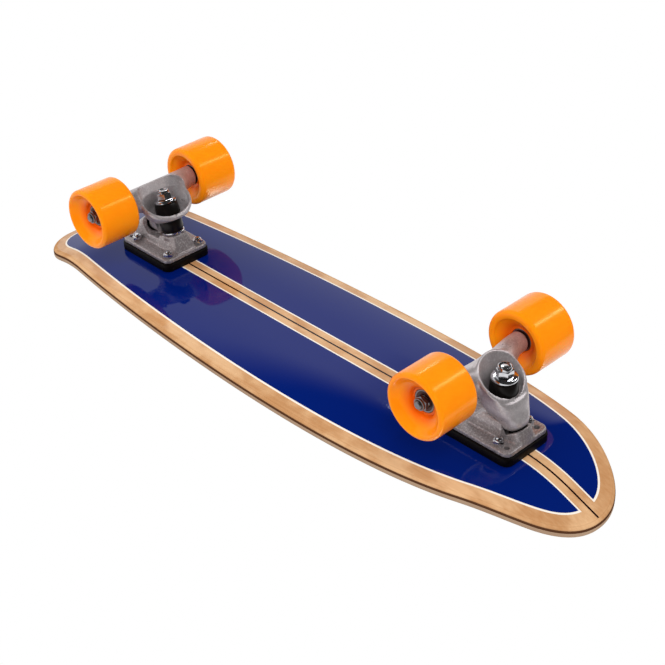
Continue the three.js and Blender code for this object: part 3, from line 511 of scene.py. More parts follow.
def flowing(rows, steps):
    """Rows eased between the given ones along a Catmull-Rom curve."""
    rows = np.array(rows, dtype=float)
    padded = np.concatenate([[2 * rows[0] - rows[1]], rows, [2 * rows[-1] - rows[-2]]])
    eased = []
    for k in range(1, len(padded) - 2):
        a, b, c, d = padded[k - 1:k + 3]
        for t in np.linspace(0, 1, steps, endpoint=False):
            eased.append(0.5 * (2 * b + (c - a) * t + (2 * a - 5 * b + 4 * c - d) * t ** 2
                                + (3 * b - a - 3 * c + d) * t ** 3))
    return eased + [rows[-1]]


def cast_block(rows, steps=LOFT_STEPS):
    return stacked([oval_ring(*row) for row in (flowing(rows, steps) if steps else rows)])


def hull_block(corners):
    """A block's points and faces."""
    bm = bmesh.new()
    for u, half, h in corners:
        bm.verts.new((u, half, h))
        bm.verts.new((u, -half, h))
    bmesh.ops.convex_hull(bm, input=bm.verts)
    bm.verts.index_update()
    points = [tuple(v.co) for v in bm.verts]
    faces = [tuple(v.index for v in face.verts) for face in bm.faces]
    bm.free()
    return points, faces


def rod(radius, low, high, count=48):
    return stacked(lathed([(radius, low), (radius, high)], count))


def cast_piece(name, material, grown, cuts, passes):
    """A casting: forms grown together with soft fillets, then machined and tumbled."""
    body = solid(name, *gathered(grown), material)
    for (voxel, soften), taken in zip(passes, (cuts, [])):
        modify(body, "REMESH", mode="VOXEL", voxel_size=voxel * MM)
        modify(body, "SMOOTH", factor=0.5, iterations=soften)
        settle(body)
        cut_away(body, taken)
    body.data.shade_smooth()
    body.data.materials.clear()
    body.data.materials.append(material)
    return body


def carried(piece, place):
    """The piece's own mesh moved by a matrix in millimetres."""
    for step in (Matrix.Scale(1 / MM, 4), place, Matrix.Scale(MM, 4)):
        piece.data.transform(step)


def casting_finish(name, dark, light):
    finish = Finish(name, Metallic=0.7)
    fleck_and_glint = finish.grain(520, 5, finish.place(), rough=0.7)
    stain = finish.grain(60, 4, finish.place(), rough=0.6)
    pit = finish.grain(190, 2, finish.place()).past(0.73, 0.05)
    colour = finish.mix(stain, dark, light)
    # Near-white flecks: partly the casting's grainy tone, partly painted glints.
    colour = finish.mix(fleck_and_glint.past(0.56, 0.2) * 0.6, colour, paint(226, 222, 222))
    colour = finish.mix(pit * 0.7, colour, paint(70, 66, 68))
    return finish.feed(Base_Color=colour, Roughness=0.36 + fleck_and_glint * 0.18,
                       Normal=finish.bump(fleck_and_glint + stain * 2, 0.6, 0.16))


plate_casting = casting_finish("plate_casting", paint(116, 106, 108), paint(184, 176, 177))
for truck, place in TRUCKS.items():
    flange = rounded_slab(
        PLATE_CENTRE[truck], PLATE_LONG, PLATE_WIDE, PLATE_CORNER,
        [(FLANGE_LOW, 0), (FLANGE_HIGH - FLANGE_BEVEL, 0), (FLANGE_HIGH, FLANGE_BEVEL)])
    kingpin, steer = seat_place(truck), steer_place(truck)
    hole = rod(HOLE_R, FLANGE_LOW - OVERRUN, DRILL_HIGH, DRILL_SIDES)
    holes = [moved(hole, Matrix.Translation((HOLE_START[truck] + along, side, 0)))
             for along in (0, HOLE_SHORT, HOLE_LONG) for side in (-HOLE_CROSS / 2, HOLE_CROSS / 2)]
    grown = [flange, cast_block(BOSS_ROWS[truck]), moved(rod(SEAT_R, -OVERRUN, 0), kingpin)]
    grown += [hull_block(corners) for corners in TOWER_BLOCKS[truck] + BOSS_BLOCKS[truck]]
    socket = stacked(lathed([(SOCKET_R - 3, SOCKET_FLOOR), (SOCKET_R, SOCKET_CONE), (SOCKET_R, VALLEY_LOW),
                             (VALLEY_R, VALLEY_LOW), (VALLEY_R, VALLEY_HIGH)]))
    recess = rod(PIN_FLATS / math.sqrt(3) + PIN_PLAY, DRILL_LOW, PIN_HEAD[truck] + PIN_HEAD_HIGH + PIN_PLAY)
    bore = rod(PIN_R + PIN_PLAY, DRILL_LOW, SEAT_CLEAR)
    cuts = [moved(socket, steer), moved(bore, kingpin), moved(recess, kingpin), *holes]
    plate = cast_piece(f"{truck}_base_casting", plate_casting, grown, cuts, PLATE_CAST)
    carried(plate, place)
    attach(plate, "board")
    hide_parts(f"{truck}_baseplate")


# The pivot cups
# Urethane cups pressed into the bosses; the hangers' noses sit and turn in them.
BALL_R, BALL_PLAY, STEM_R = 5.6, 0.3, 6.8
CUP_LIP, CUP_FLOOR = 3.0, -7.3
for truck, place in TRUCKS.items():
    reach = BALL_R + BALL_PLAY
    ball = [(reach * math.sin(a), -reach * math.cos(a)) for a in np.linspace(math.pi / 2, 0.02, 10)]
    profile = [(0.02, CUP_FLOOR), (5, CUP_FLOOR), (SOCKET_R, -3.1), (SOCKET_R, CUP_LIP - 0.5),
               (SOCKET_R - 0.5, CUP_LIP), (STEM_R + 0.6, CUP_LIP), (STEM_R + 0.2, CUP_LIP - 0.4)]
    cup = solid(f"{truck}_cup", *moved(stacked(lathed(profile + ball)), place, steer_place(truck)), moulded_rubber)
    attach(cup, "board")
    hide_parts(f"{truck}_pivot_cup")


# The kingpins and their nuts
# A steel bolt through each tower; a lock nut with a nylon collar sets the bushings' squeeze.
PIN_TOP, PIN_THREAD_LOW = 49.0, 20
NUT_LOW, NUT_HIGH, COLLAR_HIGH = 40.1, 49.6, 3.0
BEVEL_START, BEVEL_SLOPE, COLLAR_SHARE = 0.485, 1.9, 0.47
THREAD_PITCH, THREAD_DEPTH = 1.0, 0.28
TURNED, SHANK_TURNED, INSERT_TURNED = 72, 40, 48


def steel_finish(name, tone, rough):
    finish = Finish(name, Metallic=1.0)
    haze = finish.grain(260, 3, finish.place())
    colour = finish.mix(haze, paint(tone, tone, tone + 3), paint(tone - 26, tone - 25, tone - 20))
    return finish.feed(Base_Color=colour, Roughness=rough + haze * 0.12)


def nylon_finish():
    finish = Finish("nylon_collar", Roughness=0.4)
    grain = finish.grain(300, 2, finish.place())
    return finish.feed(Base_Color=finish.mix(grain, paint(24, 24, 28), paint(44, 44, 50)))


bright_steel = steel_finish("bright_steel", 224, 0.1)
# A darker steel tone for the axles, bearing races and axle nuts.
darker_steel = steel_finish("darker_steel", 138, 0.3)
nylon_collar = nylon_finish()


def hexagon(flats):
    """The distance to a hexagon's side at any angle, and how far down its chamfer reaches there."""
    def side(angle):
        return flats / 2 / math.cos((angle + math.pi / 6) % (math.pi / 3) - math.pi / 6)

    return side, lambda angle: (side(angle) - flats * BEVEL_START) / BEVEL_SLOPE


def hooped(rows, count):
    """A turned form with a bore: its rings, the last one joined to the first."""
    rings = lathed(rows, count)
    return [p for ring in rings for p in ring], bands(count, len(rings), hoop=True)


def lock_nut(flats, low, high, bore, collar_high):
    """A lock nut's forms: a chamfered hexagon under a round collar; then the collar's insert."""
    top = high - collar_high
    side, bevel = hexagon(flats)
    inner = flats * BEVEL_START
    hexes = [(inner, low), (side, lambda a: low + bevel(a)), (side, lambda a: top - bevel(a)), (inner, top)]
    lip = flats * COLLAR_SHARE
    collar = [(lip, top + 0.05), (lip, high - 0.8), (lip - 0.3, high - 0.2), (lip - 0.9, high),
              (lip - 1.5, high - 0.3), (lip - 1.7, high - 0.9)]
    shell = [(bore, low), *hexes, *collar, (bore, high - 1.0)]
    insert = [(bore, high - 1.1), (lip - 1.7, high - 1.0), (lip - 1.75, high - 0.75), (bore - 0.1, high - 0.7)]
    return hooped(shell, TURNED), hooped(insert, INSERT_TURNED)


def joined(name, made):
    """Several objects as one, under a new name."""
    with bpy.context.temp_override(active_object=made[0], selected_editable_objects=made):
        bpy.ops.object.join()
    made[0].name = name
    return made[0]


def together(name, parts, *places):
    """Several forms with a finish each, moved and made one mesh."""
    return joined(name, [solid(f"{name}_{k}", *moved(form, *places), finish)
                         for k, (form, finish) in enumerate(parts)])


def threaded(radius, low, high, pitch=THREAD_PITCH):
    """A thread as close rounds along a shank."""
    rows = []
    for k in range(int((high - low) / pitch)):
        rows += [(radius, low + k * pitch), (radius - THREAD_DEPTH, low + (k + 0.5) * pitch)]
    return rows


for truck, place in TRUCKS.items():
    line = seat_place(truck)
    low, high = PIN_HEAD[truck], PIN_HEAD[truck] + PIN_HEAD_HIGH
    shank = [(PIN_R, high - 0.5), *threaded(PIN_R, PIN_THREAD_LOW, PIN_TOP - 1.6),
             (PIN_R - 0.2, PIN_TOP - 1.0), (PIN_R - 1.0, PIN_TOP - 0.1), (PIN_R - 1.4, PIN_TOP)]
    side, bevel = hexagon(PIN_FLATS)
    head = [(PIN_FLATS * BEVEL_START, low), (side, lambda a: low + bevel(a)), (side, high)]
    kingpin = together(f"{truck}_king_bolt", [(stacked(lathed(shank, SHANK_TURNED)), bright_steel),
                                              (stacked(lathed(head, TURNED)), bright_steel)], place, line)
    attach(kingpin, "board")
    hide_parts(f"{truck}_kingpin")
    shell, insert = lock_nut(PIN_FLATS, NUT_LOW, NUT_HIGH, PIN_R + 0.15, COLLAR_HIGH)
    nut = together(f"{truck}_king_nut", [(shell, bright_steel), (insert, nylon_collar)], place, line)
    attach(nut, "board")
    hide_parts(f"{truck}_kingpin_nut")


# The bushings and their washers
# Cast urethane rings that spring the truck, each held in a pressed and plated cup washer.
WASHER_R, WASHER_LIP = 12.4, 1.6
BUSHING_R, BUSHING_BASE_R = 12.4, {"board": 12.4, "road": 13.3}
BOARD_WASHER, BOARD_BUSHING, ROAD_BUSHING, ROAD_WASHER = (0.3, 1.9), (2.2, 16.5), (22.1, 37.9), (38.2, 39.8)


def urethane_black():
    finish = Finish("black_urethane", Roughness=0.35, Specular_IOR_Level=0.25)
    grain = finish.grain(180, 3, finish.place())
    return finish.feed(Base_Color=finish.mix(grain, paint(14, 12, 12), paint(26, 23, 22)),
                       Normal=finish.bump(grain, 0.15, 0.1))


black_urethane = urethane_black()
for truck, place in TRUCKS.items():
    line = seat_place(truck)
    for label, (low, high), way in (("board", BOARD_WASHER, 1), ("road", ROAD_WASHER, -1)):
        face, back = (low, high) if way > 0 else (high, low)
        rim = back + way * WASHER_LIP
        profile = [(PIN_R + 0.4, face), (WASHER_R - 2.0, face), (WASHER_R - 0.9, face + way * 0.35),
                   (WASHER_R - 0.2, face + way * 1.1), (WASHER_R, face + way * 1.9), (WASHER_R, rim - way * 0.2),
                   (WASHER_R - 0.3, rim), (WASHER_R - 1.0, rim), (WASHER_R - 1.3, rim - way * 0.4),
                   (WASHER_R - 1.4, back + way * 0.3), (WASHER_R - 2.0, back), (PIN_R + 0.4, back)]
        ring = moved(hooped(profile, TURNED), place, line)
        washer = solid(f"{truck}_{label}_cup_washer", *ring, bright_steel)
        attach(washer, "board")
        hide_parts(f"{truck}_{label}_washer")
    for label, (low, high), way in (("board", BOARD_BUSHING, 1), ("road", ROAD_BUSHING, -1)):
        start, end = (low, high) if way > 0 else (high, low)
        neck, base = WASHER_R - 1.5, BUSHING_BASE_R[label]
        profile = [(PIN_R + PIN_PLAY, start), (neck, start), (neck, start + way * 1.9),
                   (BUSHING_R - 0.7, start + way * 2.6), (BUSHING_R, start + way * 3.8), (base, end - way * 3.6),
                   (base, end - way * 1.6), (base - 0.4, end - way * 0.6), (base - 1.3, end), (PIN_R + PIN_PLAY, end)]
        ring = moved(hooped(profile, TURNED), place, line)
        bush = solid(f"{truck}_{label}_urethane", *ring, black_urethane)
        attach(bush, "board")
        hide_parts(f"{truck}_{label}_bushing")


# The hangers
# One casting each: a bowl round the kingpin nut, a web between the bushings, a skirt down to the
# pivot nose, and the two arms that the axle is cast through.
AXLE_DROP, ARM_END, AXLE_R = 70.1, 51, 4
BAY_R, BAY_LOW, BAY_SIDES = 15.8, -12, 80
WEB_LOW, WEB_HIGH, WEB_HOLE_R = 16.8, 21.8, 7.4
# Oval rows, as for the baseplates; the bowls' cutters run past the rims.
BODY_ROWS = {
    "front": [[(43.0, 23.4, 8.4, 8.8, 32, 2.2, 2.2), (41.0, 26.2, 10.8, 12.2, 32, 2.4, 2.4),
               (38.8, 29.4, 12.2, 13.6, 29, 2.5, 2.5), (33.8, 34.6, 14.3, 15.8, 12, 2.7, 2.8),
               (27.0, 41.0, 19.4, 18.8, -2, 3, 2.8), (24.2, 51.0, 20.6, 20.2, -11, 2.6, 3),
               (22.2, 60.0, 21.6, 22.2, -22, 2.4, 2.8), (20.4, 67.4, 24.0, 25.2, -38, 2.2, 2.5),
               (21.0, 69.5, 24.0, 25.4, -39, 2.2, 2.5)]],
    "rear": [[(-24.0, 47.3, 15.8, 20.6, -12, 2, 2.6), (-23.4, 52.0, 18.2, 24.4, 0, 2, 3),
              (-21.7, 61.6, 21.8, 28.8, 20, 2.1, 3.4), (-20.4, 67.7, 24.6, 30.0, 31.7, 2.1, 3.4),
              (-19.3, 69.7, 24.8, 30.1, 31.7, 2.1, 3.4)],
             [(3.4, 30.1, 7.0, 7.0, 56, 2, 2), (-2.2, 33.7, 10.1, 10.1, 56, 2, 2),
              (-8.9, 38.2, 12.0, 13.9, 50, 2.2, 2.2), (-7.9, 49.9, 13.0, 19.2, 20, 2.6, 2.6),
              (-6.0, 66.0, 11.0, 24.0, 0, 2.6, 2.6)]],
}
BOWL_ROWS = {
    "front": [(24.5, 52.8, 14.0, 14.2, 0, 2, 2), (24.2, 56.8, 15.6, 17.2, -12, 2, 2),
              (21.0, 70.3, 21.6, 23.6, -39, 2, 2), (29.0, 80.2, 25.0, 27.5, -39, 2, 2)],
    "rear": [(-23.3, 50.4, 14.0, 14.2, -15, 2, 2), (-22.2, 53.2, 16.8, 19.0, 4, 2, 2.8),
             (-22.1, 63.8, 18.9, 26.1, 26.6, 2, 3.3), (-19.3, 70.7, 23.3, 28.7, 31.7, 2.1, 3.2),
             (-25.1, 80.1, 25.4, 31.0, 31.7, 2.1, 2.6)],
}
# A size, then rows from an arm's end in to the middle: [share of the reach, and as parts of the
# size u, h, half length and half height].
ARM_ROWS = {
    "front": (9.8, [(1, 0, 0, 0.9, 0.9), (0.98, 0, 0, 1, 1), (0.72, 0.08, -0.08, 1.08, 1.08),
                    (0.36, 0.5, -0.65, 1.5, 1.6), (0, 0.6, -0.75, 1.6, 1.7)]),
    "rear": (11, [(1, 0, 0, 0.92, 0.92), (0.98, 0, 0, 1, 1), (0.78, -0.1, -0.05, 1.1, 1.06),
                  (0.6, -0.3, -0.06, 1.3, 1.12), (0.36, -0.5, -0.1, 1.5, 1.24), (0, -0.5, -0.1, 1.5, 1.24)]),
}
ARM_STEPS, STEM_ROOT = 5, {"front": 5.7, "rear": 9.0}
HANGER_CAST = {"front": ((0.85, 10), (0.66, 7)), "rear": ((0.85, 10), (0.66, 2))}


def arms(truck):
    """Both arms as one tapered housing along the axle."""
    size, rows = ARM_ROWS[truck]
    whole = rows + [(-reach, *rest) for reach, *rest in rows[-2::-1]]
    spans = [(reach * ARM_END, u * size, h * size, a * size, b * size) for reach, u, h, a, b in whole]
    angle = np.linspace(0, 2 * math.pi, LOFT_COUNT, endpoint=False)
    return stacked([[(u + a * math.cos(t), y, AXLE_DROP + h + b * math.sin(t)) for t in angle]
                    for y, u, h, a, b in flowing(spans, ARM_STEPS)])


hanger_casting = casting_finish("hanger_casting", paint(146, 136, 139), paint(228, 222, 224))
for truck, place in TRUCKS.items():
    kingpin, steer = seat_place(truck), steer_place(truck)
    ball = [(BALL_R * math.sin(a), -BALL_R * math.cos(a)) for a in np.linspace(0.05, math.pi / 2, 10)]
    stem = stacked(lathed(ball + [(STEM_R, CUP_LIP), (STEM_R, STEM_ROOT[truck])]))
    bay, web_hole = rod(BAY_R, BAY_LOW, WEB_LOW, BAY_SIDES), rod(WEB_HOLE_R, WEB_LOW - 2, WEB_HIGH + 2)
    grown = [cast_block(rows) for rows in BODY_ROWS[truck]] + [arms(truck), moved(stem, steer)]
    cuts = [moved(bay, kingpin), cast_block(BOWL_ROWS[truck], 0), moved(web_hole, kingpin)]
    hanger = cast_piece(f"{truck}_hanger_casting", hanger_casting, grown, cuts, HANGER_CAST[truck])
    carried(hanger, place)
    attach(hanger, f"{truck}_hanger")
    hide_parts(f"{truck}_hanger")


# The axles, bearings and axle nuts
# An 8 mm steel axle through each hanger; two shielded ball bearings a wheel on a sleeve, then a nut.
AXLE_END, AXLE_PLAIN, AXLE_PITCH, THREAD_START, THREAD_END = 85.6, 70, 0.9, 1.2, 8.2
SLEEVE_LOW, SLEEVE_HIGH = 51.3, 77.3
BEARING_R, BEARING_WIDE = 11, 7
BEARING_LOW = {"outer": 69.3, "inner": 52.3}
AXLE_NUT_FLATS, AXLE_NUT_HIGH, AXLE_COLLAR_HIGH, AXLE_NUT_GAP = 12.7, 6, 2.0, 0.3


def shield_finish():
    # Dark shields, with a red-brown tint that is painted shade and painted bounce light from the orange wheels.
    finish = Finish("shield_painted_red_shade", Metallic=0.35, Roughness=0.38)
    grain = finish.grain(150, 3, finish.place())
    return finish.feed(Base_Color=finish.mix(grain, paint(40, 26, 28), paint(66, 44, 44)))


shield_painted_red_shade = shield_finish()


def on_axle(side):
    """From a line outwards along +Z to the axle, left or right."""
    return Matrix.Translation((0, 0, AXLE_DROP)) @ Matrix.Rotation(-math.pi / 2 * side, 4, "X")


def corner_name(truck, side):
    """Which wheel stands on a truck's side; the front truck is turned about X, so its sides swap."""
    world_side = side if truck == "rear" else -side
    return f"{truck}_{'left' if world_side > 0 else 'right'}"


def bearing(low):
    """A bearing's outer race, then its recessed shields, as points and faces."""
    high = low + BEARING_WIDE
    race = [(9.4, low + 0.5), (9.5, low + 0.1), (9.7, low), (BEARING_R - 0.4, low), (BEARING_R, low + 0.4),
            (BEARING_R, high - 0.4), (BEARING_R - 0.4, high), (9.7, high), (9.5, high - 0.1), (9.4, high - 0.5)]
    shield = [(6.6, low + 0.55), (9.45, low + 0.45), (9.45, high - 0.45), (6.6, high - 0.55), (6.4, high - 0.8),
              (6.4, low + 0.8)]
    return hooped(race, TURNED), hooped(shield, TURNED)


for truck, place in TRUCKS.items():
    bar = [(AXLE_R - 0.9, -AXLE_END), (AXLE_R, -AXLE_END + 0.9),
           *threaded(AXLE_R, -AXLE_END + THREAD_START, -AXLE_END + THREAD_END, AXLE_PITCH),
           (AXLE_R, -AXLE_PLAIN), (AXLE_R, AXLE_PLAIN),
           *threaded(AXLE_R, AXLE_END - THREAD_END, AXLE_END - THREAD_START, AXLE_PITCH),
           (AXLE_R, AXLE_END - 0.9), (AXLE_R - 0.9, AXLE_END)]
    form = moved(stacked(lathed(bar, SHANK_TURNED)), place, on_axle(1))
    axle = solid(f"{truck}_axle_bar", *form, darker_steel)
    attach(axle, f"{truck}_hanger")
    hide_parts(f"{truck}_axle")
    for side in (1, -1):
        label, spot = corner_name(truck, side), on_axle(side)
        sleeve = [(AXLE_R + 0.2, SLEEVE_LOW), (5.8, SLEEVE_LOW), (6.1, SLEEVE_LOW + 0.3),
                  (6.1, SLEEVE_HIGH - 0.3), (5.8, SLEEVE_HIGH), (AXLE_R + 0.2, SLEEVE_HIGH)]
        tube = solid(f"{label}_sleeve", *moved(hooped(sleeve, INSERT_TURNED), place, spot), bright_steel)
        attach(tube, f"{truck}_hanger")
        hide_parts(f"{label}_bearing_sleeve")
        nut_low = SLEEVE_HIGH + AXLE_NUT_GAP
        shell, insert = lock_nut(AXLE_NUT_FLATS, nut_low, nut_low + AXLE_NUT_HIGH, AXLE_R + 0.12, AXLE_COLLAR_HIGH)
        nut = together(f"{label}_lock_nut", [(shell, darker_steel), (insert, nylon_collar)], place, spot)
        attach(nut, f"{truck}_hanger")
        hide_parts(f"{label}_axle_nut")
        for which, low in BEARING_LOW.items():
            race, shield = bearing(low)
            ball_race = together(f"{label}_{which}_race", [(race, darker_steel), (shield, shield_painted_red_shade)], place, spot)
            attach(ball_race, f"{label}_wheel")
            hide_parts(f"{label}_{which}_bearing")


# The wheels
# Poured urethane, turned on the tread and lips, with a dished recess on each side down to the
# bearing seats. The body is a little translucent; the recesses are coloured a deeper red-orange than the tread as
# painted shade.
WHEEL_R, WHEEL_WIDE, WHEEL_MIDDLE, WHEEL_LIP = 32.5, 47.2, 66.5, 4
SEAT_EDGE_R, SEAT_PLAY, SHELF_R = 11.3, 0.2, 9.3
# The first two: the radius inside which the orange turns deeper as painted recess shade, and its soft width.
RECESS_SHADE_EDGE, RECESS_SHADE_SOFT, WHEEL_TURNED, LIP_ROWS = 19, 11.4, 144, 9
# [radius, depth below the face] of each side's dish, from the hub outwards.
OUTER_DISH = [(13.2, 13.8), (13.6, 13.0), (14.2, 11.4), (15.2, 10.0), (17.0, 9.0), (19.5, 8.2), (21.6, 7.3),
              (22.8, 6.5), (23.5, 5.7), (25.2, 3.5), (26.8, 1.5), (27.4, 0.7), (28.0, 0.2)]
INNER_DISH = [(13.4, 9.4), (14.2, 9.0), (15.4, 7.9), (17.4, 6.4), (20.0, 4.6), (22.4, 2.9), (23.8, 1.7),
              (24.3, 0.9), (24.7, 0.35), (25.5, 0.0)]


def wheel_finish():
    finish = Finish("orange_urethane", Specular_IOR_Level=0.38, Specular_Tint=paint(255, 226, 120),
                    Subsurface_Weight=0.25, Subsurface_Scale=0.01)
    finish.shader.inputs["Subsurface Radius"].default_value = (1.0, 0.32, 0.04)
    cloud = finish.grain(40, 3, finish.place())
    colour = finish.mix(cloud, paint(255, 146, 22), paint(252, 134, 18))
    x, _, z = finish.split(finish.place())
    along, up = abs(x) - AXLE_X * MM, z - WHEEL_R * MM
    radius = (along * along + up * up).sum("SQRT") * (1 / MM)
    # Painted shade: inside the dish edge the orange turns a deeper red-orange.
    colour = finish.mix((1 - radius.past(RECESS_SHADE_EDGE, RECESS_SHADE_SOFT)) * 0.85, colour, paint(232, 84, 18))
    turned = finish.grain(30, 2, finish.place(scale=(1, 60, 1)))
    return finish.feed(Base_Color=colour, Roughness=0.16 + turned * 0.08, Normal=finish.bump(turned, 0.02, 0.05))


def wheel_side(out, seat, dish):
    """[radius, height] rows of one side, from its bearing seat out to the tread."""
    face = WHEEL_MIDDLE + out * WHEEL_WIDE / 2
    rows = [(SEAT_EDGE_R, seat), *((r, face - out * depth) for r, depth in dish)]
    for angle in np.linspace(0, math.pi / 2, LIP_ROWS):
        rows.append((WHEEL_R - WHEEL_LIP + WHEEL_LIP * math.sin(angle),
                     face - out * WHEEL_LIP * (1 - math.cos(angle))))
    return rows


orange_urethane = wheel_finish()
inner_shelf = BEARING_LOW["inner"] + BEARING_WIDE + SEAT_PLAY
outer_shelf = BEARING_LOW["outer"] - SEAT_PLAY
wheel_rows = [(SHELF_R, inner_shelf), (BEARING_R + 0.1, inner_shelf)]
wheel_rows += wheel_side(-1, BEARING_LOW["inner"], INNER_DISH)
wheel_rows += wheel_side(1, BEARING_LOW["outer"] + BEARING_WIDE, OUTER_DISH)[::-1]
wheel_rows += [(BEARING_R + 0.1, outer_shelf), (SHELF_R, outer_shelf)]
for truck, place in TRUCKS.items():
    for side in (1, -1):
        label = corner_name(truck, side)
        ring = moved(hooped(wheel_rows, WHEEL_TURNED), place, on_axle(side))
        wheel = solid(f"{label}_tyre", *ring, orange_urethane, sharp=40)
        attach(wheel, f"{label}_wheel")
        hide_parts(f"{label}_wheel")


# The mounting hardware
# Four countersunk bolts a truck, dropped through deck, riser and flange, with a lock nut each.
# One bolt and one nut are made, and Geometry Nodes set a copy at every hole.
BOLT_R, BOLT_END, BOLT_PITCH = 2.4, 21.0, 0.7
BOLT_HEAD_R, BOLT_HEAD_HIGH, HEAD_SUNK = 4.7, 2.8, 0.15
KEY_FLATS, KEY_DEEP = 3.2, 2.2
NUT_FLATS, BOLT_NUT_LOW, BOLT_NUT_HIGH, BOLT_COLLAR_HIGH = 9.5, 14.6, 19.4, 1.7
BOLT_TURNED, COPY_SEED = 36, 4


def set_at_bolts(name, template, finish):
    """A copy of the template at each bolt's place, made by a node tree with its pieces as inputs."""
    tree = bpy.data.node_groups.new(f"{name}_tree", "GeometryNodeTree")
    sockets = {}
    for label, kind in (("Spots", "Geometry"), ("Template", "Object"), ("Size", "Float"), ("Finish", "Material")):
        socket = tree.interface.new_socket(label, in_out="INPUT", socket_type=f"NodeSocket{kind}")
        sockets[label] = socket.identifier
    tree.interface.new_socket("Geometry", in_out="OUTPUT", socket_type="NodeSocketGeometry")
    entry, leave, shape, copies, turn, real, dress = [tree.nodes.new(kind) for kind in (
        "NodeGroupInput", "NodeGroupOutput", "GeometryNodeObjectInfo", "GeometryNodeInstanceOnPoints",
        "FunctionNodeRandomValue", "GeometryNodeRealizeInstances", "GeometryNodeSetMaterial")]
    turn.data_type = "FLOAT_VECTOR"
    turn.inputs[0].default_value, turn.inputs[1].default_value = (0, 0, 0), (0, 0, math.pi)
    turn.inputs["Seed"].default_value = COPY_SEED
    for start, end in (
            (entry.outputs["Spots"], copies.inputs["Points"]), (entry.outputs["Template"], shape.inputs["Object"]),
            (shape.outputs["Geometry"], copies.inputs["Instance"]), (turn.outputs[0], copies.inputs["Rotation"]),
            (entry.outputs["Size"], copies.inputs["Scale"]), (copies.outputs["Instances"], real.inputs["Geometry"]),
            (real.outputs["Geometry"], dress.inputs["Geometry"]), (entry.outputs["Finish"], dress.inputs["Material"]),
            (dress.outputs["Geometry"], leave.inputs["Geometry"])):
        tree.links.new(start, end)
    mesh = bpy.data.meshes.new(name)
    mesh.from_pydata([tuple(c * MM for c in spot) for spot in BOLT_SPOTS], [], [])
    made = added(name, mesh)
    step = made.modifiers.new("copies", "NODES")
    step.node_group = tree
    for label, value in (("Template", template), ("Size", 1.0), ("Finish", finish)):
        step[sockets[label]] = value
    settle(made)
    bpy.data.objects.remove(template)
    return made


head_top = DECK_THICK - HEAD_SUNK
key_hole, _ = hexagon(KEY_FLATS)
bolt_thread = threaded(BOLT_R, BOLT_NUT_LOW + 0.2, BOLT_END - 0.4, BOLT_PITCH)
bolt_rows = [(key_hole, head_top - KEY_DEEP), (key_hole, head_top), (BOLT_HEAD_R - 0.4, head_top),
             (BOLT_HEAD_R, head_top - 0.3), (BOLT_R, head_top - BOLT_HEAD_HIGH), (BOLT_R, -BOLT_NUT_LOW),
             *[(r, -z) for r, z in bolt_thread], (BOLT_R - 0.5, -BOLT_END)]
one_bolt = solid("one_bolt", *stacked(lathed(bolt_rows, BOLT_TURNED)), bright_steel)
bolts = set_at_bolts("mounting_bolts", one_bolt, bright_steel)
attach(bolts, "board")
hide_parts(*[f"{truck}_bolt_{k}" for truck in TRUCKS for k in (1, 2, 3, 4)])
under = Matrix.Rotation(math.pi, 4, "X")
nut_forms = lock_nut(NUT_FLATS, BOLT_NUT_LOW, BOLT_NUT_HIGH, BOLT_R + 0.1, BOLT_COLLAR_HIGH)
nuts = joined("mounting_nuts", [
    set_at_bolts(f"mounting_{label}", solid(f"one_{label}", *moved(form, under), finish), finish)
    for label, form, finish in zip(("shell", "insert"), nut_forms, (bright_steel, nylon_collar))])
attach(nuts, "board")
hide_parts(*[f"{truck}_lock_nut_{k}" for truck in TRUCKS for k in (1, 2, 3, 4)])


# The camera
# Below the nose's left side, rolled as the photograph is, with a lens of 76 mm on a 36 mm frame.
CAMERA_PLACE = (0.8783, 0.7888, -0.6841)
CAMERA_RIGHT = (0.69693, -0.71678, 0.02285)
CAMERA_DOWN = (0.38681, 0.40255, 0.82966)
CAMERA_FORWARD = (-0.60388, -0.56937, 0.55780)
FOCAL_PIXELS, PHOTO_PIXELS, SENSOR_WIDE = 1405.2, 665, 36
lens = bpy.data.cameras.new("camera")
lens.sensor_width = SENSOR_WIDE
lens.lens = FOCAL_PIXELS / PHOTO_PIXELS * SENSOR_WIDE
lens.clip_end = 50
camera = added("camera", lens)
axes = Matrix((CAMERA_RIGHT, [-c for c in CAMERA_DOWN], [-c for c in CAMERA_FORWARD])).transposed()
camera.matrix_world = Matrix.Translation(CAMERA_PLACE) @ axes.to_4x4()
bpy.context.scene.camera = camera


# The studio
# A pale floor that is there only for a camera above it, a white surround, and soft lamps on
# both sides of the floor.
FLOOR_HALF = 6.0
LAMP_AIM, LAMP_ALONG = Vector((0, 0, 0.05)), Vector((0, 1, 0))
SHEET_WAY = (-0.63, 0.1, 0.77)
SHEET_EDGE, SHEET_SOFT, DARK_SIDE = -0.17, 0.09, 0.03
EVEN_TINT, EVEN_LIGHT = (1.0, 0.985, 0.96, 1), 0.52
floor_finish = Finish("studio_floor", Roughness=0.9, Base_Color=(0.86, 0.86, 0.86, 1))
path = floor_finish.node("ShaderNodeLightPath")
facing = floor_finish.node("ShaderNodeNewGeometry", output="Backfacing")
clear = floor_finish.node("ShaderNodeBsdfTransparent")
shown = path * (1 - facing)
opaque = Wire(floor_finish, floor_finish.shader.outputs[0])
surface = floor_finish.node("ShaderNodeMixShader", inputs=[shown, clear, opaque])
floor_finish.tree.links.new(surface.socket, floor_finish.tree.nodes["Material Output"].inputs["Surface"])
corners = [(x * FLOOR_HALF / MM, y * FLOOR_HALF / MM, 0) for x, y in ((-1, -1), (1, -1), (1, 1), (-1, 1))]
floor = solid("floor", corners, [(0, 1, 2, 3)], floor_finish.material)

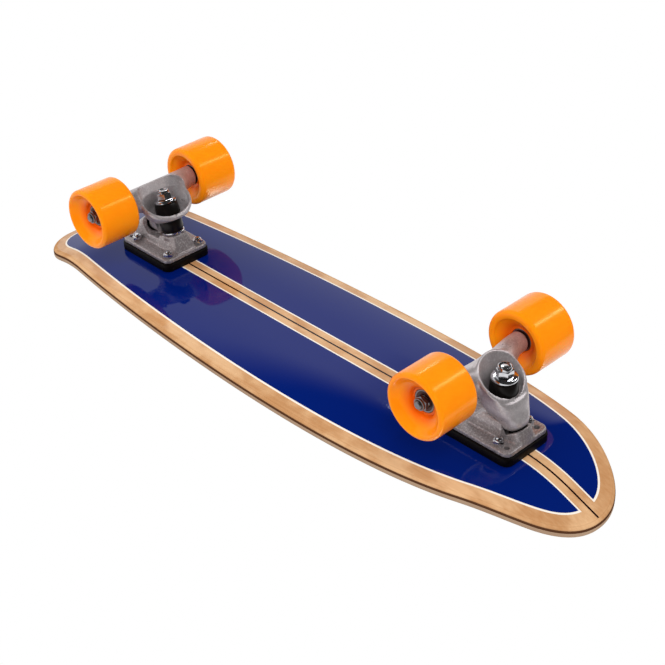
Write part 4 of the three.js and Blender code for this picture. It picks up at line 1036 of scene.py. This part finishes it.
world = bpy.data.worlds.new("surround")
bpy.context.scene.world = world
world.use_nodes = True
surround = Nodes(world.node_tree)
light_path = surround.node("ShaderNodeLightPath").socket.node
camera_ray, glossy_ray, through_ray = [
    Wire(surround, light_path.outputs[f"Is {kind} Ray"]) for kind in ("Camera", "Glossy", "Transmission")]
toward = surround.node("ShaderNodeTexCoord", output="Generated")
toward = surround.node("ShaderNodeVectorMath", {"operation": "DOT_PRODUCT"}, [toward, SHEET_WAY], output="Value")
sheet = DARK_SIDE + (1 - DARK_SIDE) * toward.past(SHEET_EDGE, SHEET_SOFT)
white = surround.node("ShaderNodeBackground", inputs={
    "Color": (1, 1, 1, 1), "Strength": camera_ray.sum("MAXIMUM", sheet)})
even = surround.node("ShaderNodeBackground", inputs={"Color": EVEN_TINT, "Strength": EVEN_LIGHT})
seen = camera_ray.sum("MAXIMUM", glossy_ray).sum("MAXIMUM", through_ray)
both = surround.node("ShaderNodeMixShader", inputs=[seen, even, white])
world.node_tree.links.new(both.socket, world.node_tree.nodes["World Output"].inputs["Surface"])


def soft_lamp(name, place, long, wide, power, glossy=True):
    """An area lamp aimed at the middle of the board, its long side across the board's length."""
    lamp = bpy.data.lights.new(name, "AREA")
    lamp.shape = "RECTANGLE"
    lamp.size, lamp.size_y = long, wide
    lamp.energy = power
    made = added(name, lamp)
    back = (Vector(place) - LAMP_AIM).normalized()
    side = (LAMP_ALONG - back * back.dot(LAMP_ALONG)).normalized()
    turn = Matrix((side, back.cross(side), back)).transposed()
    made.matrix_world = Matrix.Translation(place) @ turn.to_4x4()
    made.visible_glossy = glossy


soft_lamp("key", (0.9, -1.3, -1.25), 1.4, 0.13, 9)
soft_lamp("overhead", (-0.95, -1.16, -1.2), 0.12, 0.07, 0.9)
soft_lamp("near_fill", (2.6, 2.4, -2.9), 2.6, 2.6, 135, glossy=False)
soft_lamp("tail_fill", (-1.6, 1.3, -1.2), 1.2, 1.2, 20, glossy=False)
soft_lamp("top", (0.4, -0.5, 2.0), 1.6, 1.6, 30)

bpy.context.scene.view_settings.view_transform = "Standard"
